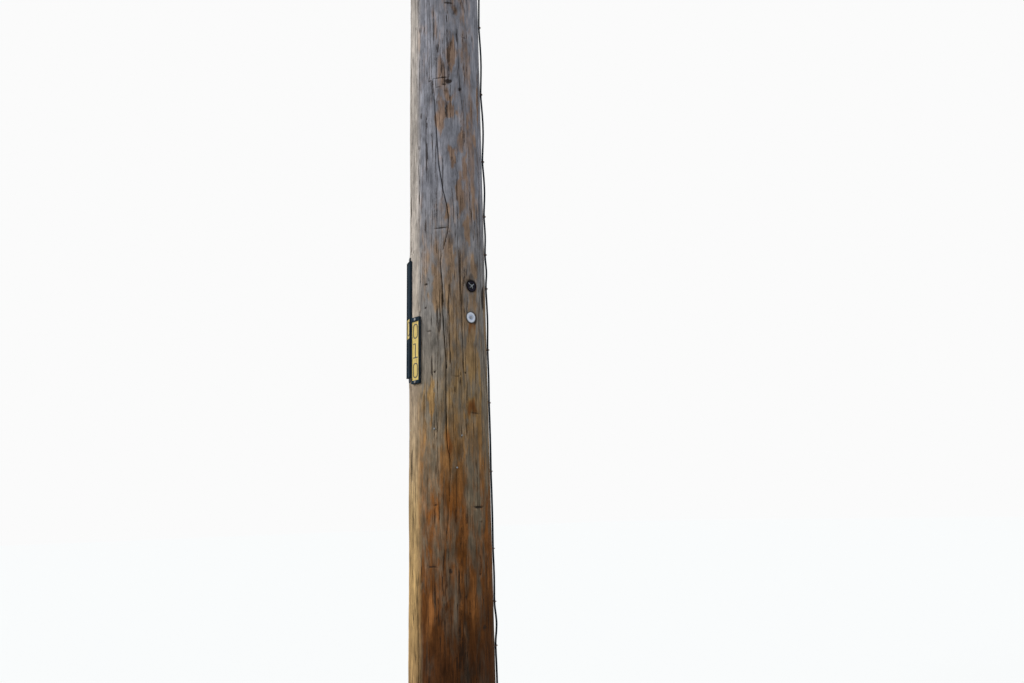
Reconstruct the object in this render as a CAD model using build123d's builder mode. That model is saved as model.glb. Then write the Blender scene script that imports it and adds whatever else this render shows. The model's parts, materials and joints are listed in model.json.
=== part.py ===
from build123d import *
import math
import os

# Wooden utility pole, from the ground line up. Millimetres and degrees.
# +Z runs up the pole and the origin is the middle of its section at the ground line.
# X runs along the line of conductors, and -Y is the street side, where the number tags face.
# Azimuths are measured from +X towards +Y.

# Pole timber
pole_height = 7470.0
ground_radius = 137.0
swell_height = 450.0
swell_radius = 132.5
taper_height = 2700.0
taper_radius = 119.7
top_radius = 96.0
top_edge_chamfer = 5.0

# Seats and clearances
seat_gap = 0.2
drill_clearance = 0.15
plate_clearance = 0.2
overcut = 1.0
lean_step = 10.0

# Seasoning checks: azimuth and height of the low and high end, width at the surface, depth
check_lines = [
    (-31.0, 1810.0, -47.0, 2190.0, 4.0, 22.0),
    (-36.0, 1080.0, -42.0, 1700.0, 5.0, 26.0),
    (-12.0, 1450.0, -14.0, 1665.0, 3.0, 14.0),
    (-78.8, 60.0, -78.8, 610.0, 5.0, 24.0),
    (64.0, 700.0, 60.5, 1500.0, 4.0, 22.0),
    (141.0, 1250.0, 147.0, 2500.0, 5.0, 26.0),
    (-128.0, 2300.0, -124.0, 3500.0, 5.0, 26.0),
    (18.0, 3100.0, 21.0, 4500.0, 4.0, 22.0),
    (-160.0, 4100.0, -165.0, 5600.0, 4.0, 22.0),
    (118.0, 5400.0, 121.0, 6500.0, 4.0, 20.0),
]
check_overcut = 3.0

# Ground wire, held by staples up the back of the pole to a lug on the neutral bolt
wire_radius = 3.1
wire_azimuth = 54.8
# Lower staples: height, how far the wire bows out above it, and how far it drifts sideways there
lower_staple_spots = [
    (90.0, 3.5, 1.0),
    (330.0, 1.5, -0.8),
    (510.0, 6.0, 0.5),
    (640.0, 1.5, 0.9),
    (800.0, 1.0, -0.6),
    (1040.0, 0.8, -0.9),
    (1260.0, 1.2, 0.6),
    (1435.0, 2.8, 0.8),
    (1643.0, 3.6, -0.5),
    (1761.0, 2.6, 0.7),
    (1896.0, 5.2, -0.9),
    (2095.0, 6.4, 0.5),
    (2346.0, 5.2, 0.9),
    (2605.0, 4.0, -0.7),
]
upper_staple_spacing = 330.0
upper_bows = [4.0, 2.5, 5.0, 3.0]
upper_drifts = [-0.7, 0.9, 0.5, -1.0, 0.6]
wire_ground_bow = 2.0
wire_straight = 12.0
wire_bend_share = 0.45
last_staple_drop = 190.0
swing_drop = 105.0
swing_azimuth = 62.0
swing_stand_off = 9.0

# Staples
staple_rod_radius = 1.4
staple_leg_depth = 24.0
staple_corner_radius = 3.2

# Number tags and their channel holders
tag_pitch = 63.5
tag_gap = 0.4
tag_width = 38.0
tag_thickness = 1.4
holder_wall = 1.6
holder_lip = 1.6
holder_lip_reach = 1.8
holder_depth = 7.0
ear_width = 13.0
ear_height = 15.0
ear_thickness = 2.4
short_holder_azimuth = -84.4
short_holder_height = 1420.7
short_holder_tags = 3
short_holder_top_end = 14.0
short_holder_bottom_end = 10.0
long_holder_azimuth = -107.2
long_holder_lowest_tag = 1342.5
long_holder_tags = 6
long_holder_top_end = 3.0
long_holder_bottom_end = 2.0
long_holder_number_slot = 2
digit_height = 48.0
digit_width = 24.0
digit_stroke = 3.4
digit_corner = 11.0
digit_raise = 0.5

# Round inspection discs
disc_radius = 19.0
disc_thickness = 1.6
disc_rim_height = 1.2
disc_rim_width = 2.2
dark_disc_azimuth = 4.3
dark_disc_height = 1627.0
bright_disc_azimuth = 2.4
bright_disc_height = 1523.0
bright_disc_dish_radius = 11.0
bright_disc_dish_depth = 0.6

# Nails
nail_radius = 1.9
nail_head_radius = 4.2
nail_head_thickness = 1.4
nail_buried = 30.0
old_nail_stand_off = 1.8
old_nail_head_radius = 2.6
old_nail_azimuths = [-53.4, -15.4, -22.9]
old_nail_heights = [1168.5, 1146.0, 1048.0]

# Through bolts with square heads, square nuts and curved square washers
bolt_radius = 7.95
bolt_head_width = 27.0
bolt_head_height = 10.0
bolt_tail = 34.0
bolt_hole_radius = 8.75
nut_width = 27.0
nut_height = 13.0
washer_width = 57.0
washer_thickness = 4.8

# Pole top pin: a channel bolted to the street side, with a stem for the insulator
pin_bolt_spacing = 203.0
pin_bolt_drop = 55.0
channel_width = 46.0
channel_depth = 20.0
channel_web = 6.0
channel_flange = 6.0
channel_below_bolt = 38.0
channel_above_top = 42.0
shoulder_height = 26.0
stem_radius = 12.7
stem_height = 118.0
lead_radius = 17.4
lead_length = 46.0
lead_below_tip = 4.0

# Pin insulator, a brown porcelain head with a saddle, a tie groove and one skirt
insulator_height = 122.0
insulator_skirt_radius = 66.0
insulator_skirt_height = 40.0
insulator_shoulder_radius = 43.0
insulator_neck_radius = 29.0
insulator_tie_radius = 27.0
insulator_lip_radius = 35.0
insulator_head_radius = 38.0
insulator_crown_radius = 32.0
insulator_head_height = 34.0
insulator_lip_rise = 6.0
tie_groove_height = 16.0
saddle_width = 19.0
saddle_depth = 11.0
skirt_recess_radius = 50.0
skirt_recess_depth = 16.0
insulator_bore_depth = 62.0
thread_clearance = 0.3

# Neutral clevis with a spool insulator
neutral_drop = 1340.0
clevis_width = 38.0
clevis_thickness = 5.0
spool_radius = 39.5
spool_height = 76.0
spool_waist_radius = 23.0
spool_groove_height = 44.0
spool_bore_radius = 9.0
spool_rim_fillet = 5.0
spool_play = 0.3
spool_reach = 62.0
clevis_nose = 19.0
clevis_nose_fillet = 18.0
clevis_pin_radius = 7.9
clevis_pin_head_radius = 12.5
clevis_pin_head_height = 6.0
clevis_pin_tail = 16.0
cotter_radius = 1.8
cotter_length = 34.0
cotter_eye_radius = 5.0
cotter_eye_thickness = 2.8
cotter_eye_overlap = 1.0
cotter_drop = 4.0

# Lug that joins the ground wire to the neutral bolt
lug_thickness = 3.0
lug_eye_radius = 15.0
lug_tongue_width = 11.0
lug_barrel_radius = 5.5
lug_barrel_start = 21.0
lug_barrel_length = 28.0
lug_barrel_fill = 22.0
lug_angle = 45.0
lug_lead_out = 62.0

# Strand clamp for the messenger of the communications cable
strand_drop = 2620.0
strand_plate_length = 152.0
strand_plate_height = 50.0
strand_plate_thickness = 12.0
strand_plate_gap = 1.6
strand_plate_corner = 8.0
strand_groove_radius = 4.0
strand_groove_rise = 15.0
clamp_bolt_spacing = 108.0
clamp_bolt_radius = 6.35
clamp_bolt_head_radius = 13.0
clamp_bolt_head_height = 6.0
clamp_bolt_tail = 12.0
clamp_nut_width = 21.0
clamp_nut_height = 11.0

# Drop hook for the service wire
hook_drop = 170.0
hook_radius = 6.35
hook_reach = 54.0
hook_rise = 42.0
hook_bend = 16.0
hook_buried = 62.0
hook_flange_radius = 15.0
hook_flange_thickness = 4.0

# Places that follow from the sizes above
neutral_height = pole_height - neutral_drop
strand_height = pole_height - strand_drop
hook_height = strand_height - hook_drop
pin_bolt_heights = [pole_height - pin_bolt_drop, pole_height - pin_bolt_drop - pin_bolt_spacing]
profile_points = [
    (ground_radius, 0.0),
    (swell_radius, swell_height),
    (taper_radius, taper_height),
    (top_radius, pole_height),
]


def radius_at(height):
    """Radius of the timber at a height, along its straight tapers."""
    for (low_radius, low), (high_radius, high) in zip(profile_points, profile_points[1:]):
        if height <= high:
            break
    return low_radius + (high_radius - low_radius) * (height - low) / (high - low)


def surface_point(azimuth, height, stand_off=0.0):
    """Point over the timber at an azimuth and a height."""
    reach = radius_at(height) + stand_off
    turn = math.radians(azimuth)
    return Vector(reach * math.cos(turn), reach * math.sin(turn), height)


def surface_plane(azimuth, height):
    """Plane on the timber: its x runs round the pole, its y up the taper and its z outwards."""
    lean = (radius_at(height - lean_step) - radius_at(height + lean_step)) / (2 * lean_step)
    turn = math.radians(azimuth)
    return Plane(
        origin=surface_point(azimuth, height),
        x_dir=(-math.sin(turn), math.cos(turn), 0),
        z_dir=(math.cos(turn), math.sin(turn), lean),
    )


def seat_radius(height, half_height):
    """Radius that clears the timber under a fitting that reaches half_height below its middle."""
    return radius_at(height - half_height) + seat_gap


def make_nail(plane, seat, head_radius=nail_head_radius):
    """Nail driven along the plane's normal, its head bearing at the height seat over the plane."""
    with BuildPart() as nail:
        with BuildSketch(plane.offset(-nail_buried)):
            Circle(nail_radius)
        extrude(amount=nail_buried + seat)
        with BuildSketch(plane.offset(seat)):
            Circle(head_radius)
        extrude(amount=nail_head_thickness)
    return nail.part


def make_through_bolt(height, head_seat, tail_end):
    """Square-headed bolt along Y, its head bearing on a face at y = -head_seat."""
    with BuildPart() as bolt:
        with BuildSketch(Plane.XZ.offset(-tail_end)):
            with Locations((0, height)):
                Circle(bolt_radius)
        extrude(amount=tail_end + head_seat + seat_gap)
        with BuildSketch(Plane.XZ.offset(head_seat + seat_gap)):
            with Locations((0, height)):
                Rectangle(bolt_head_width, bolt_head_width)
        extrude(amount=bolt_head_height)
    return bolt.part


def make_washer(height):
    """Square washer curved to the pole, on the field side."""
    inner = seat_radius(height, washer_width / 2)
    with BuildPart() as washer:
        with BuildSketch(Plane.XY.offset(height - washer_width / 2)):
            Circle(inner + washer_thickness)
            Circle(inner, mode=Mode.SUBTRACT)
            with Locations((0, inner)):
                Rectangle(washer_width, inner, mode=Mode.INTERSECT)
        extrude(amount=washer_width)
        with BuildSketch(Plane.XZ.offset(-inner - washer_thickness)):
            with Locations((0, height)):
                Circle(bolt_hole_radius)
        extrude(amount=2 * washer_thickness, both=True, mode=Mode.SUBTRACT)
    return washer.part


def washer_face(height):
    """Distance along +Y to the outside of the washer."""
    return seat_radius(height, washer_width / 2) + washer_thickness


def make_nut(height, seat):
    """Square nut on a through bolt, bearing on a face at y = seat."""
    with BuildPart() as nut:
        with BuildSketch(Plane.XZ.offset(-seat - seat_gap - nut_height)):
            with Locations((0, height)):
                Rectangle(nut_width, nut_width)
                Circle(bolt_radius + drill_clearance, mode=Mode.SUBTRACT)
        extrude(amount=nut_height)
    return nut.part


# Heights of all the staples: those that were measured, then an even spacing up to the lug
last_staple = neutral_height - last_staple_drop
lower_staple_heights = [height for height, bow, drift in lower_staple_spots]
upper_start = lower_staple_heights[-1]
upper_count = round((last_staple - upper_start) / upper_staple_spacing)
upper_step = (last_staple - upper_start) / upper_count
upper_staple_spots = [
    (upper_start + upper_step * (i + 1), upper_bows[i % len(upper_bows)], upper_drifts[i % len(upper_drifts)])
    for i in range(upper_count)
]
upper_staple_heights = [height for height, bow, drift in upper_staple_spots]
staple_spots = lower_staple_spots + upper_staple_spots
wire_seat = wire_radius + seat_gap
staple_leg_offset = wire_radius + seat_gap + staple_rod_radius
staple_planes = [surface_plane(wire_azimuth, height) for height, bow, drift in staple_spots]

# Nails that hold the tag holders and the discs, as plane and seat
short_plane = surface_plane(short_holder_azimuth, short_holder_height)
long_middle = long_holder_lowest_tag + tag_pitch * long_holder_tags / 2
long_plane = surface_plane(long_holder_azimuth, long_middle)
short_half = short_holder_tags * tag_pitch / 2
long_half = long_holder_tags * tag_pitch / 2
short_nail_offsets = [short_half + short_holder_top_end / 2, -short_half - short_holder_bottom_end / 2]
long_nail_offsets = [
    long_half + long_holder_top_end + ear_height / 2,
    -long_half - long_holder_bottom_end - ear_height / 2,
]


def shifted(plane, offset):
    """The same plane moved along its own y."""
    return Plane(origin=plane.origin + plane.y_dir * offset, x_dir=plane.x_dir, z_dir=plane.z_dir)


short_nail_planes = [shifted(short_plane, offset) for offset in short_nail_offsets]
long_nail_planes = [shifted(long_plane, offset) for offset in long_nail_offsets]
dark_disc_plane = surface_plane(dark_disc_azimuth, dark_disc_height)
bright_disc_plane = surface_plane(bright_disc_azimuth, bright_disc_height)
old_nail_planes = [
    surface_plane(azimuth, height) for azimuth, height in zip(old_nail_azimuths, old_nail_heights)
]
nail_planes = short_nail_planes + long_nail_planes + [dark_disc_plane, bright_disc_plane] + old_nail_planes

# Pole shaft: the tapered timber with its checks and its drilled holes
with BuildPart() as pole_shaft:
    with BuildSketch(Plane.XZ):
        with BuildLine():
            Polyline([(0, 0)] + profile_points + [(0, pole_height)], close=True)
        make_face()
    revolve(axis=Axis.Z)
    chamfer(pole_shaft.faces().sort_by(Axis.Z)[-1].edges(), top_edge_chamfer)
    for low_azimuth, low, high_azimuth, high, width, depth in check_lines:
        start = surface_point(low_azimuth, low)
        along = surface_point(high_azimuth, high) - start
        check_plane = Plane(origin=start, x_dir=(-start.X, -start.Y, 0), z_dir=along)
        with BuildSketch(check_plane):
            Polygon(
                (depth, 0),
                (-check_overcut, width),
                (-check_overcut, -width),
                align=None,
            )
        extrude(amount=along.length, mode=Mode.SUBTRACT)
    with BuildSketch(Plane.XZ):
        with Locations(*[(0, height) for height in pin_bolt_heights + [neutral_height, strand_height]]):
            Circle(bolt_hole_radius)
    extrude(amount=2 * ground_radius, both=True, mode=Mode.SUBTRACT)
    with BuildSketch(*staple_planes):
        with Locations((-staple_leg_offset, 0), (staple_leg_offset, 0)):
            Circle(staple_rod_radius + drill_clearance)
    extrude(amount=staple_leg_depth + seat_gap, both=True, mode=Mode.SUBTRACT)
    with BuildSketch(*nail_planes):
        Circle(nail_radius + drill_clearance)
    extrude(amount=nail_buried + seat_gap, both=True, mode=Mode.SUBTRACT)
    hook_mouth = Plane.XZ.offset(radius_at(hook_height) - hook_buried - seat_gap)
    with BuildSketch(hook_mouth):
        with Locations((0, hook_height)):
            Circle(hook_radius + drill_clearance)
    extrude(amount=2 * hook_buried, mode=Mode.SUBTRACT)

# Ground wire: out of the ground, under every staple, then over to the lug on the neutral bolt
lug_seat = washer_face(neutral_height) + seat_gap
barrel_depth = lug_seat + lug_barrel_radius
lug_turn = math.radians(lug_angle)


def lug_point(reach):
    """Point on the axis of the lug's barrel, at a distance from the neutral bolt."""
    return Vector(reach * math.sin(lug_turn), barrel_depth, neutral_height - reach * math.cos(lug_turn))


wire_points = [surface_point(wire_azimuth, 0.0, wire_seat + wire_ground_bow)]
for (height, bow, drift), following in zip(staple_spots, staple_spots[1:] + [None]):
    wire_points.append(surface_point(wire_azimuth, height - wire_straight, wire_seat))
    wire_points.append(surface_point(wire_azimuth, height + wire_straight, wire_seat))
    if following:
        middle = (height + following[0]) / 2
        wire_points.append(surface_point(wire_azimuth + drift, middle, wire_seat + bow))
wire_points.append(surface_point(swing_azimuth, neutral_height - swing_drop, swing_stand_off))
wire_points.append(lug_point(lug_lead_out))
wire_points.append(lug_point(lug_barrel_start + lug_barrel_length - lug_barrel_fill))
wire_radii = []
for before, here, after in zip(wire_points, wire_points[1:], wire_points[2:]):
    run_in = here - before
    run_out = after - here
    turn = math.radians(run_in.get_angle(run_out))
    wire_radii.append(wire_bend_share * min(run_in.length, run_out.length) / math.tan(turn / 2))

with BuildPart() as ground_wire:
    with BuildLine() as wire_route:
        FilletPolyline(*wire_points, radius=wire_radii)
    with BuildSketch(Plane(origin=wire_route.line @ 0, z_dir=(0, 0, 1))):
        Circle(wire_radius)
    sweep(path=wire_route.line)


def make_staple(height):
    """Staple over the wire, both legs in the timber."""
    plane = surface_plane(wire_azimuth, height)
    section = Plane(origin=plane.origin, x_dir=plane.x_dir, z_dir=-plane.y_dir)
    crown = 2 * wire_radius + 2 * seat_gap + staple_rod_radius
    with BuildPart() as staple:
        with BuildLine(section) as bent:
            FilletPolyline(
                (-staple_leg_offset, -staple_leg_depth),
                (-staple_leg_offset, crown),
                (staple_leg_offset, crown),
                (staple_leg_offset, -staple_leg_depth),
                radius=staple_corner_radius,
            )
        with BuildSketch(Plane(origin=bent.line @ 0, z_dir=bent.line % 0)):
            Circle(staple_rod_radius)
        sweep(path=bent.line)
    return staple.part


lower_staples = [make_staple(height) for height in lower_staple_heights]
upper_staples = [make_staple(height) for height in upper_staple_heights]
with BuildPart() as wire_staples_lower:
    add(lower_staples)
with BuildPart() as wire_staples_upper:
    add(upper_staples)

# Tag holders: channels whose lips hold the number tags
slot_width = tag_width + 2 * plate_clearance
holder_width = slot_width + 2 * holder_wall
slot_depth = tag_thickness + 2 * plate_clearance
slot_floor = holder_depth - holder_lip - slot_depth


def make_holder(plane, half, top_end, bottom_end, ears, nail_offsets):
    """Channel seated on a plane of the timber, with its slot open at the front between the lips."""
    with BuildPart() as holder:
        with BuildSketch(plane.offset(seat_gap)):
            with Locations((0, (top_end - bottom_end) / 2)):
                Rectangle(holder_width, 2 * half + top_end + bottom_end)
        extrude(amount=holder_depth)
        if ears:
            with BuildSketch(plane.offset(seat_gap)):
                with Locations((0, half + top_end), (0, -half - bottom_end)):
                    Rectangle(ear_width, 2 * ear_height)
            extrude(amount=ear_thickness)
        with BuildSketch(plane.offset(seat_gap + slot_floor)):
            Rectangle(slot_width, 2 * half)
        extrude(amount=slot_depth, mode=Mode.SUBTRACT)
        with BuildSketch(plane.offset(seat_gap + slot_floor)):
            Rectangle(slot_width - 2 * holder_lip_reach, 2 * half)
        extrude(amount=holder_depth, mode=Mode.SUBTRACT)
        with BuildSketch(plane):
            with Locations(*[(0, offset) for offset in nail_offsets]):
                Circle(nail_radius + drill_clearance)
        extrude(amount=holder_depth + 2 * seat_gap, mode=Mode.SUBTRACT)
    return holder.part


def make_tag(plane, half, slot):
    """Tag plate in a slot of a holder, counted from the lowest."""
    with BuildPart() as tag:
        with BuildSketch(plane.offset(seat_gap + slot_floor + plate_clearance)):
            with Locations((0, -half + (slot + 0.5) * tag_pitch)):
                Rectangle(tag_width, tag_pitch - tag_gap)
        extrude(amount=tag_thickness)
    return tag.part


tag_face = seat_gap + slot_floor + plate_clearance + tag_thickness


def make_digit(plane, half, slot, figure):
    """Raised figure 0 or 1 on the face of a tag."""
    with BuildPart() as digit:
        with BuildSketch(plane.offset(tag_face)):
            with Locations((0, -half + (slot + 0.5) * tag_pitch)):
                if figure == 0:
                    RectangleRounded(digit_width, digit_height, digit_corner)
                    inner_width = digit_width - 2 * digit_stroke
                    inner_height = digit_height - 2 * digit_stroke
                    inner_corner = digit_corner - digit_stroke
                    RectangleRounded(inner_width, inner_height, inner_corner, mode=Mode.SUBTRACT)
                else:
                    foot = (digit_stroke - digit_height) / 2
                    flag = (digit_height - digit_stroke) / 2
                    Rectangle(digit_stroke, digit_height)
                    with Locations((0, foot)):
                        Rectangle(digit_width, digit_stroke)
                    with Locations((-digit_width / 4, flag)):
                        Rectangle(digit_width / 2, digit_stroke)
        extrude(amount=digit_raise)
    return digit.part


short_tag_holder_part = make_holder(
    short_plane, short_half, short_holder_top_end, short_holder_bottom_end, False, short_nail_offsets
)
long_tag_holder_part = make_holder(
    long_plane, long_half, long_holder_top_end, long_holder_bottom_end, True, long_nail_offsets
)
blank_slots = [slot for slot in range(long_holder_tags) if slot != long_holder_number_slot]
blank_plates = [make_tag(long_plane, long_half, slot) for slot in blank_slots]
long_number_plate = make_tag(long_plane, long_half, long_holder_number_slot)
short_plates = [make_tag(short_plane, short_half, slot) for slot in range(short_holder_tags)]
short_figures = [0, 1, 0]
digits = [
    make_digit(short_plane, short_half, slot, short_figures[slot % len(short_figures)])
    for slot in range(short_holder_tags)
]
digits.append(make_digit(long_plane, long_half, long_holder_number_slot, 0))

with BuildPart() as short_tag_holder:
    add(short_tag_holder_part)
with BuildPart() as long_tag_holder:
    add(long_tag_holder_part)
with BuildPart() as long_holder_blank_tags:
    add(blank_plates)
with BuildPart() as long_holder_number_tag:
    add(long_number_plate)
with BuildPart() as number_tag_bottom:
    add(short_plates[0])
with BuildPart() as number_tag_middle:
    add(short_plates[1:-1])
with BuildPart() as number_tag_top:
    add(short_plates[-1])
with BuildPart() as tag_digits:
    add(digits)

# Nails of the holders
short_nails = [make_nail(plane, seat_gap + holder_depth + seat_gap) for plane in short_nail_planes]
long_nails = [make_nail(plane, seat_gap + ear_thickness + seat_gap) for plane in long_nail_planes]
with BuildPart() as tag_holder_nails:
    add(short_nails + long_nails)

# Inspection discs: one dark with a raised rim, one bright and dished
with BuildPart() as dark_inspection_disc:
    with BuildSketch(dark_disc_plane.offset(seat_gap)):
        Circle(disc_radius)
        Circle(nail_radius + drill_clearance, mode=Mode.SUBTRACT)
    extrude(amount=disc_thickness)
    with BuildSketch(dark_disc_plane.offset(seat_gap + disc_thickness)):
        Circle(disc_radius)
        Circle(disc_radius - disc_rim_width, mode=Mode.SUBTRACT)
    extrude(amount=disc_rim_height)

with BuildPart() as bright_inspection_disc:
    with BuildSketch(bright_disc_plane.offset(seat_gap)):
        Circle(disc_radius)
        Circle(nail_radius + drill_clearance, mode=Mode.SUBTRACT)
    extrude(amount=disc_thickness)
    with BuildSketch(bright_disc_plane.offset(seat_gap + disc_thickness - bright_disc_dish_depth)):
        Circle(bright_disc_dish_radius)
    extrude(amount=disc_thickness, mode=Mode.SUBTRACT)

disc_nail_list = [
    make_nail(dark_disc_plane, seat_gap + disc_thickness + seat_gap),
    make_nail(bright_disc_plane, seat_gap + disc_thickness - bright_disc_dish_depth + seat_gap),
]
with BuildPart() as disc_nails:
    add(disc_nail_list)

old_nail_list = [make_nail(plane, old_nail_stand_off, old_nail_head_radius) for plane in old_nail_planes]
with BuildPart() as old_nails:
    add(old_nail_list)

# Pole top pin: channel, shoulder and stem in one forging
channel_low = pin_bolt_heights[-1] - channel_below_bolt
channel_high = pole_height + channel_above_top
channel_seat = radius_at(channel_low) + seat_gap
flange_root = math.sqrt(channel_seat**2 - (channel_width / 2) ** 2) - overcut
channel_face = channel_seat + channel_depth
stem_axis = channel_face - channel_depth / 2
with BuildPart() as pole_top_pin:
    with BuildSketch(Plane.XY.offset(channel_low)):
        with Locations((0, -(flange_root + channel_face) / 2)):
            Rectangle(channel_width, channel_face - flange_root)
        Circle(channel_seat, mode=Mode.SUBTRACT)
        with Locations((0, -(channel_face - channel_web) / 2)):
            Rectangle(channel_width - 2 * channel_flange, channel_face - channel_web, mode=Mode.SUBTRACT)
    extrude(amount=channel_high - channel_low)
    with BuildSketch(Plane.XY.offset(channel_high)):
        with Locations((0, -stem_axis)):
            Rectangle(channel_width, channel_depth)
    with BuildSketch(Plane.XY.offset(channel_high + shoulder_height)):
        with Locations((0, -stem_axis)):
            Circle(stem_radius)
    loft()
    with BuildSketch(Plane.XY.offset(channel_high + shoulder_height)):
        with Locations((0, -stem_axis)):
            Circle(stem_radius)
    extrude(amount=stem_height)
    with BuildSketch(Plane.XZ.offset(channel_face)):
        with Locations(*[(0, height) for height in pin_bolt_heights]):
            Circle(bolt_hole_radius)
    extrude(amount=2 * channel_web, both=True, mode=Mode.SUBTRACT)

stem_tip = channel_high + shoulder_height + stem_height
lead_low = stem_tip - lead_below_tip - lead_length
with BuildPart() as pin_lead_thread:
    with BuildSketch(Plane.XY.offset(lead_low)):
        with Locations((0, -stem_axis)):
            Circle(lead_radius)
            Circle(stem_radius + drill_clearance, mode=Mode.SUBTRACT)
    extrude(amount=lead_length)

# Pin insulator, turned about the stem
insulator_base = stem_tip + seat_gap - insulator_bore_depth
bore_radius = lead_radius + thread_clearance
head_base = insulator_height - insulator_head_height
with BuildPart() as pin_insulator:
    with BuildSketch(Plane.XZ.offset(stem_axis)):
        with BuildLine():
            outline = Polyline(
                (0, insulator_base + insulator_bore_depth),
                (bore_radius, insulator_base + insulator_bore_depth),
                (bore_radius, insulator_base + skirt_recess_depth),
                (skirt_recess_radius, insulator_base),
                (insulator_skirt_radius, insulator_base),
                (insulator_skirt_radius, insulator_base + insulator_skirt_height / 3),
            )
            shoulder = Spline(
                outline @ 1,
                (insulator_shoulder_radius, insulator_base + insulator_skirt_height),
                (insulator_neck_radius, insulator_base + head_base - tie_groove_height / 2),
            )
            groove = ThreePointArc(
                shoulder @ 1,
                (insulator_tie_radius, insulator_base + head_base),
                (insulator_lip_radius, insulator_base + head_base + tie_groove_height / 2),
            )
            crown = ThreePointArc(
                groove @ 1,
                (
                    insulator_head_radius,
                    insulator_base + head_base + tie_groove_height / 2 + insulator_lip_rise,
                ),
                (insulator_crown_radius, insulator_base + insulator_height),
            )
            Polyline(crown @ 1, (0, insulator_base + insulator_height), outline @ 0)
        make_face()
    revolve(axis=Axis((0, -stem_axis, 0), (0, 0, 1)))
    with BuildSketch(Plane.YZ):
        with Locations((-stem_axis, insulator_base + insulator_height - saddle_depth + saddle_width / 2)):
            Circle(saddle_width / 2)
        with Locations((-stem_axis, insulator_base + insulator_height)):
            Rectangle(saddle_width, 2 * (saddle_depth - saddle_width / 2))
    extrude(amount=2 * insulator_head_radius, both=True, mode=Mode.SUBTRACT)

# Bolts, washers and nuts of the pole top pin
pin_bolt_list = []
pin_washer_list = []
pin_nut_list = []
for height in pin_bolt_heights:
    face = washer_face(height)
    pin_bolt_list.append(make_through_bolt(height, channel_face, face + bolt_tail))
    pin_washer_list.append(make_washer(height))
    pin_nut_list.append(make_nut(height, face))
with BuildPart() as pin_bolts:
    add(pin_bolt_list)
with BuildPart() as pin_bolt_washers:
    add(pin_washer_list)
with BuildPart() as pin_bolt_nuts:
    add(pin_nut_list)

# Neutral clevis: a strap bent round the spool, held by the neutral bolt
ear_gap = spool_height + 2 * spool_play
clevis_height = ear_gap + 2 * clevis_thickness
clevis_seat = seat_radius(neutral_height, clevis_height / 2)
spool_axis = clevis_seat + spool_reach
clevis_end = spool_axis + clevis_nose
with BuildPart() as neutral_clevis:
    with BuildSketch(Plane.YZ):
        with Locations((-(clevis_seat + clevis_end) / 2, neutral_height)):
            Rectangle(clevis_end - clevis_seat, clevis_height)
        with Locations((-(clevis_seat + clevis_thickness + clevis_end + overcut) / 2, neutral_height)):
            Rectangle(
                clevis_end + overcut - clevis_seat - clevis_thickness,
                ear_gap,
                mode=Mode.SUBTRACT,
            )
    extrude(amount=clevis_width / 2, both=True)
    nose_edges = neutral_clevis.edges().filter_by(Axis.Z).group_by(Axis.Y)[0]
    fillet(nose_edges, clevis_nose_fillet)
    with BuildSketch(Plane.XY.offset(neutral_height)):
        with Locations((0, -spool_axis)):
            Circle(clevis_pin_radius + drill_clearance)
    extrude(amount=clevis_height, both=True, mode=Mode.SUBTRACT)
    with BuildSketch(Plane.XZ.offset(clevis_seat)):
        with Locations((0, neutral_height)):
            Circle(bolt_hole_radius)
    extrude(amount=2 * clevis_thickness, both=True, mode=Mode.SUBTRACT)

with BuildPart() as neutral_spool:
    with BuildSketch(Plane.XZ.offset(spool_axis)):
        with Locations(((spool_radius + spool_bore_radius) / 2, neutral_height)):
            Rectangle(spool_radius - spool_bore_radius, spool_height)
        with BuildLine():
            waist = ThreePointArc(
                (spool_radius, neutral_height - spool_groove_height / 2),
                (spool_waist_radius, neutral_height),
                (spool_radius, neutral_height + spool_groove_height / 2),
            )
            Line(waist @ 1, waist @ 0)
        make_face(mode=Mode.SUBTRACT)
    revolve(axis=Axis((0, -spool_axis, 0), (0, 0, 1)))
    spool_rims = neutral_spool.edges().filter_by(GeomType.CIRCLE).group_by(SortBy.RADIUS)[-1]
    rim_faces = spool_rims.group_by(Axis.Z)
    fillet(rim_faces[0] + rim_faces[-1], spool_rim_fillet)

pin_top = neutral_height + clevis_height / 2 + seat_gap
pin_low = neutral_height - clevis_height / 2 - clevis_pin_tail
cotter_height = neutral_height - clevis_height / 2 - cotter_drop - cotter_radius
with BuildPart() as neutral_clevis_pin:
    with BuildSketch(Plane.XY.offset(pin_low)):
        with Locations((0, -spool_axis)):
            Circle(clevis_pin_radius)
    extrude(amount=pin_top - pin_low)
    with BuildSketch(Plane.XY.offset(pin_top)):
        with Locations((0, -spool_axis)):
            Circle(clevis_pin_head_radius)
    extrude(amount=clevis_pin_head_height)
    with BuildSketch(Plane.YZ):
        with Locations((-spool_axis, cotter_height)):
            Circle(cotter_radius + drill_clearance)
    extrude(amount=2 * clevis_pin_radius, both=True, mode=Mode.SUBTRACT)

with BuildPart() as neutral_cotter:
    with BuildSketch(Plane.YZ.offset(-cotter_length / 2)):
        with Locations((-spool_axis, cotter_height)):
            Circle(cotter_radius)
    extrude(amount=cotter_length)
    with BuildSketch(Plane.XZ.offset(spool_axis)):
        with Locations((cotter_length / 2 + cotter_eye_radius - cotter_eye_overlap, cotter_height)):
            Circle(cotter_eye_radius)
            Circle(cotter_eye_radius - cotter_radius, mode=Mode.SUBTRACT)
    extrude(amount=cotter_eye_thickness / 2, both=True)

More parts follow.
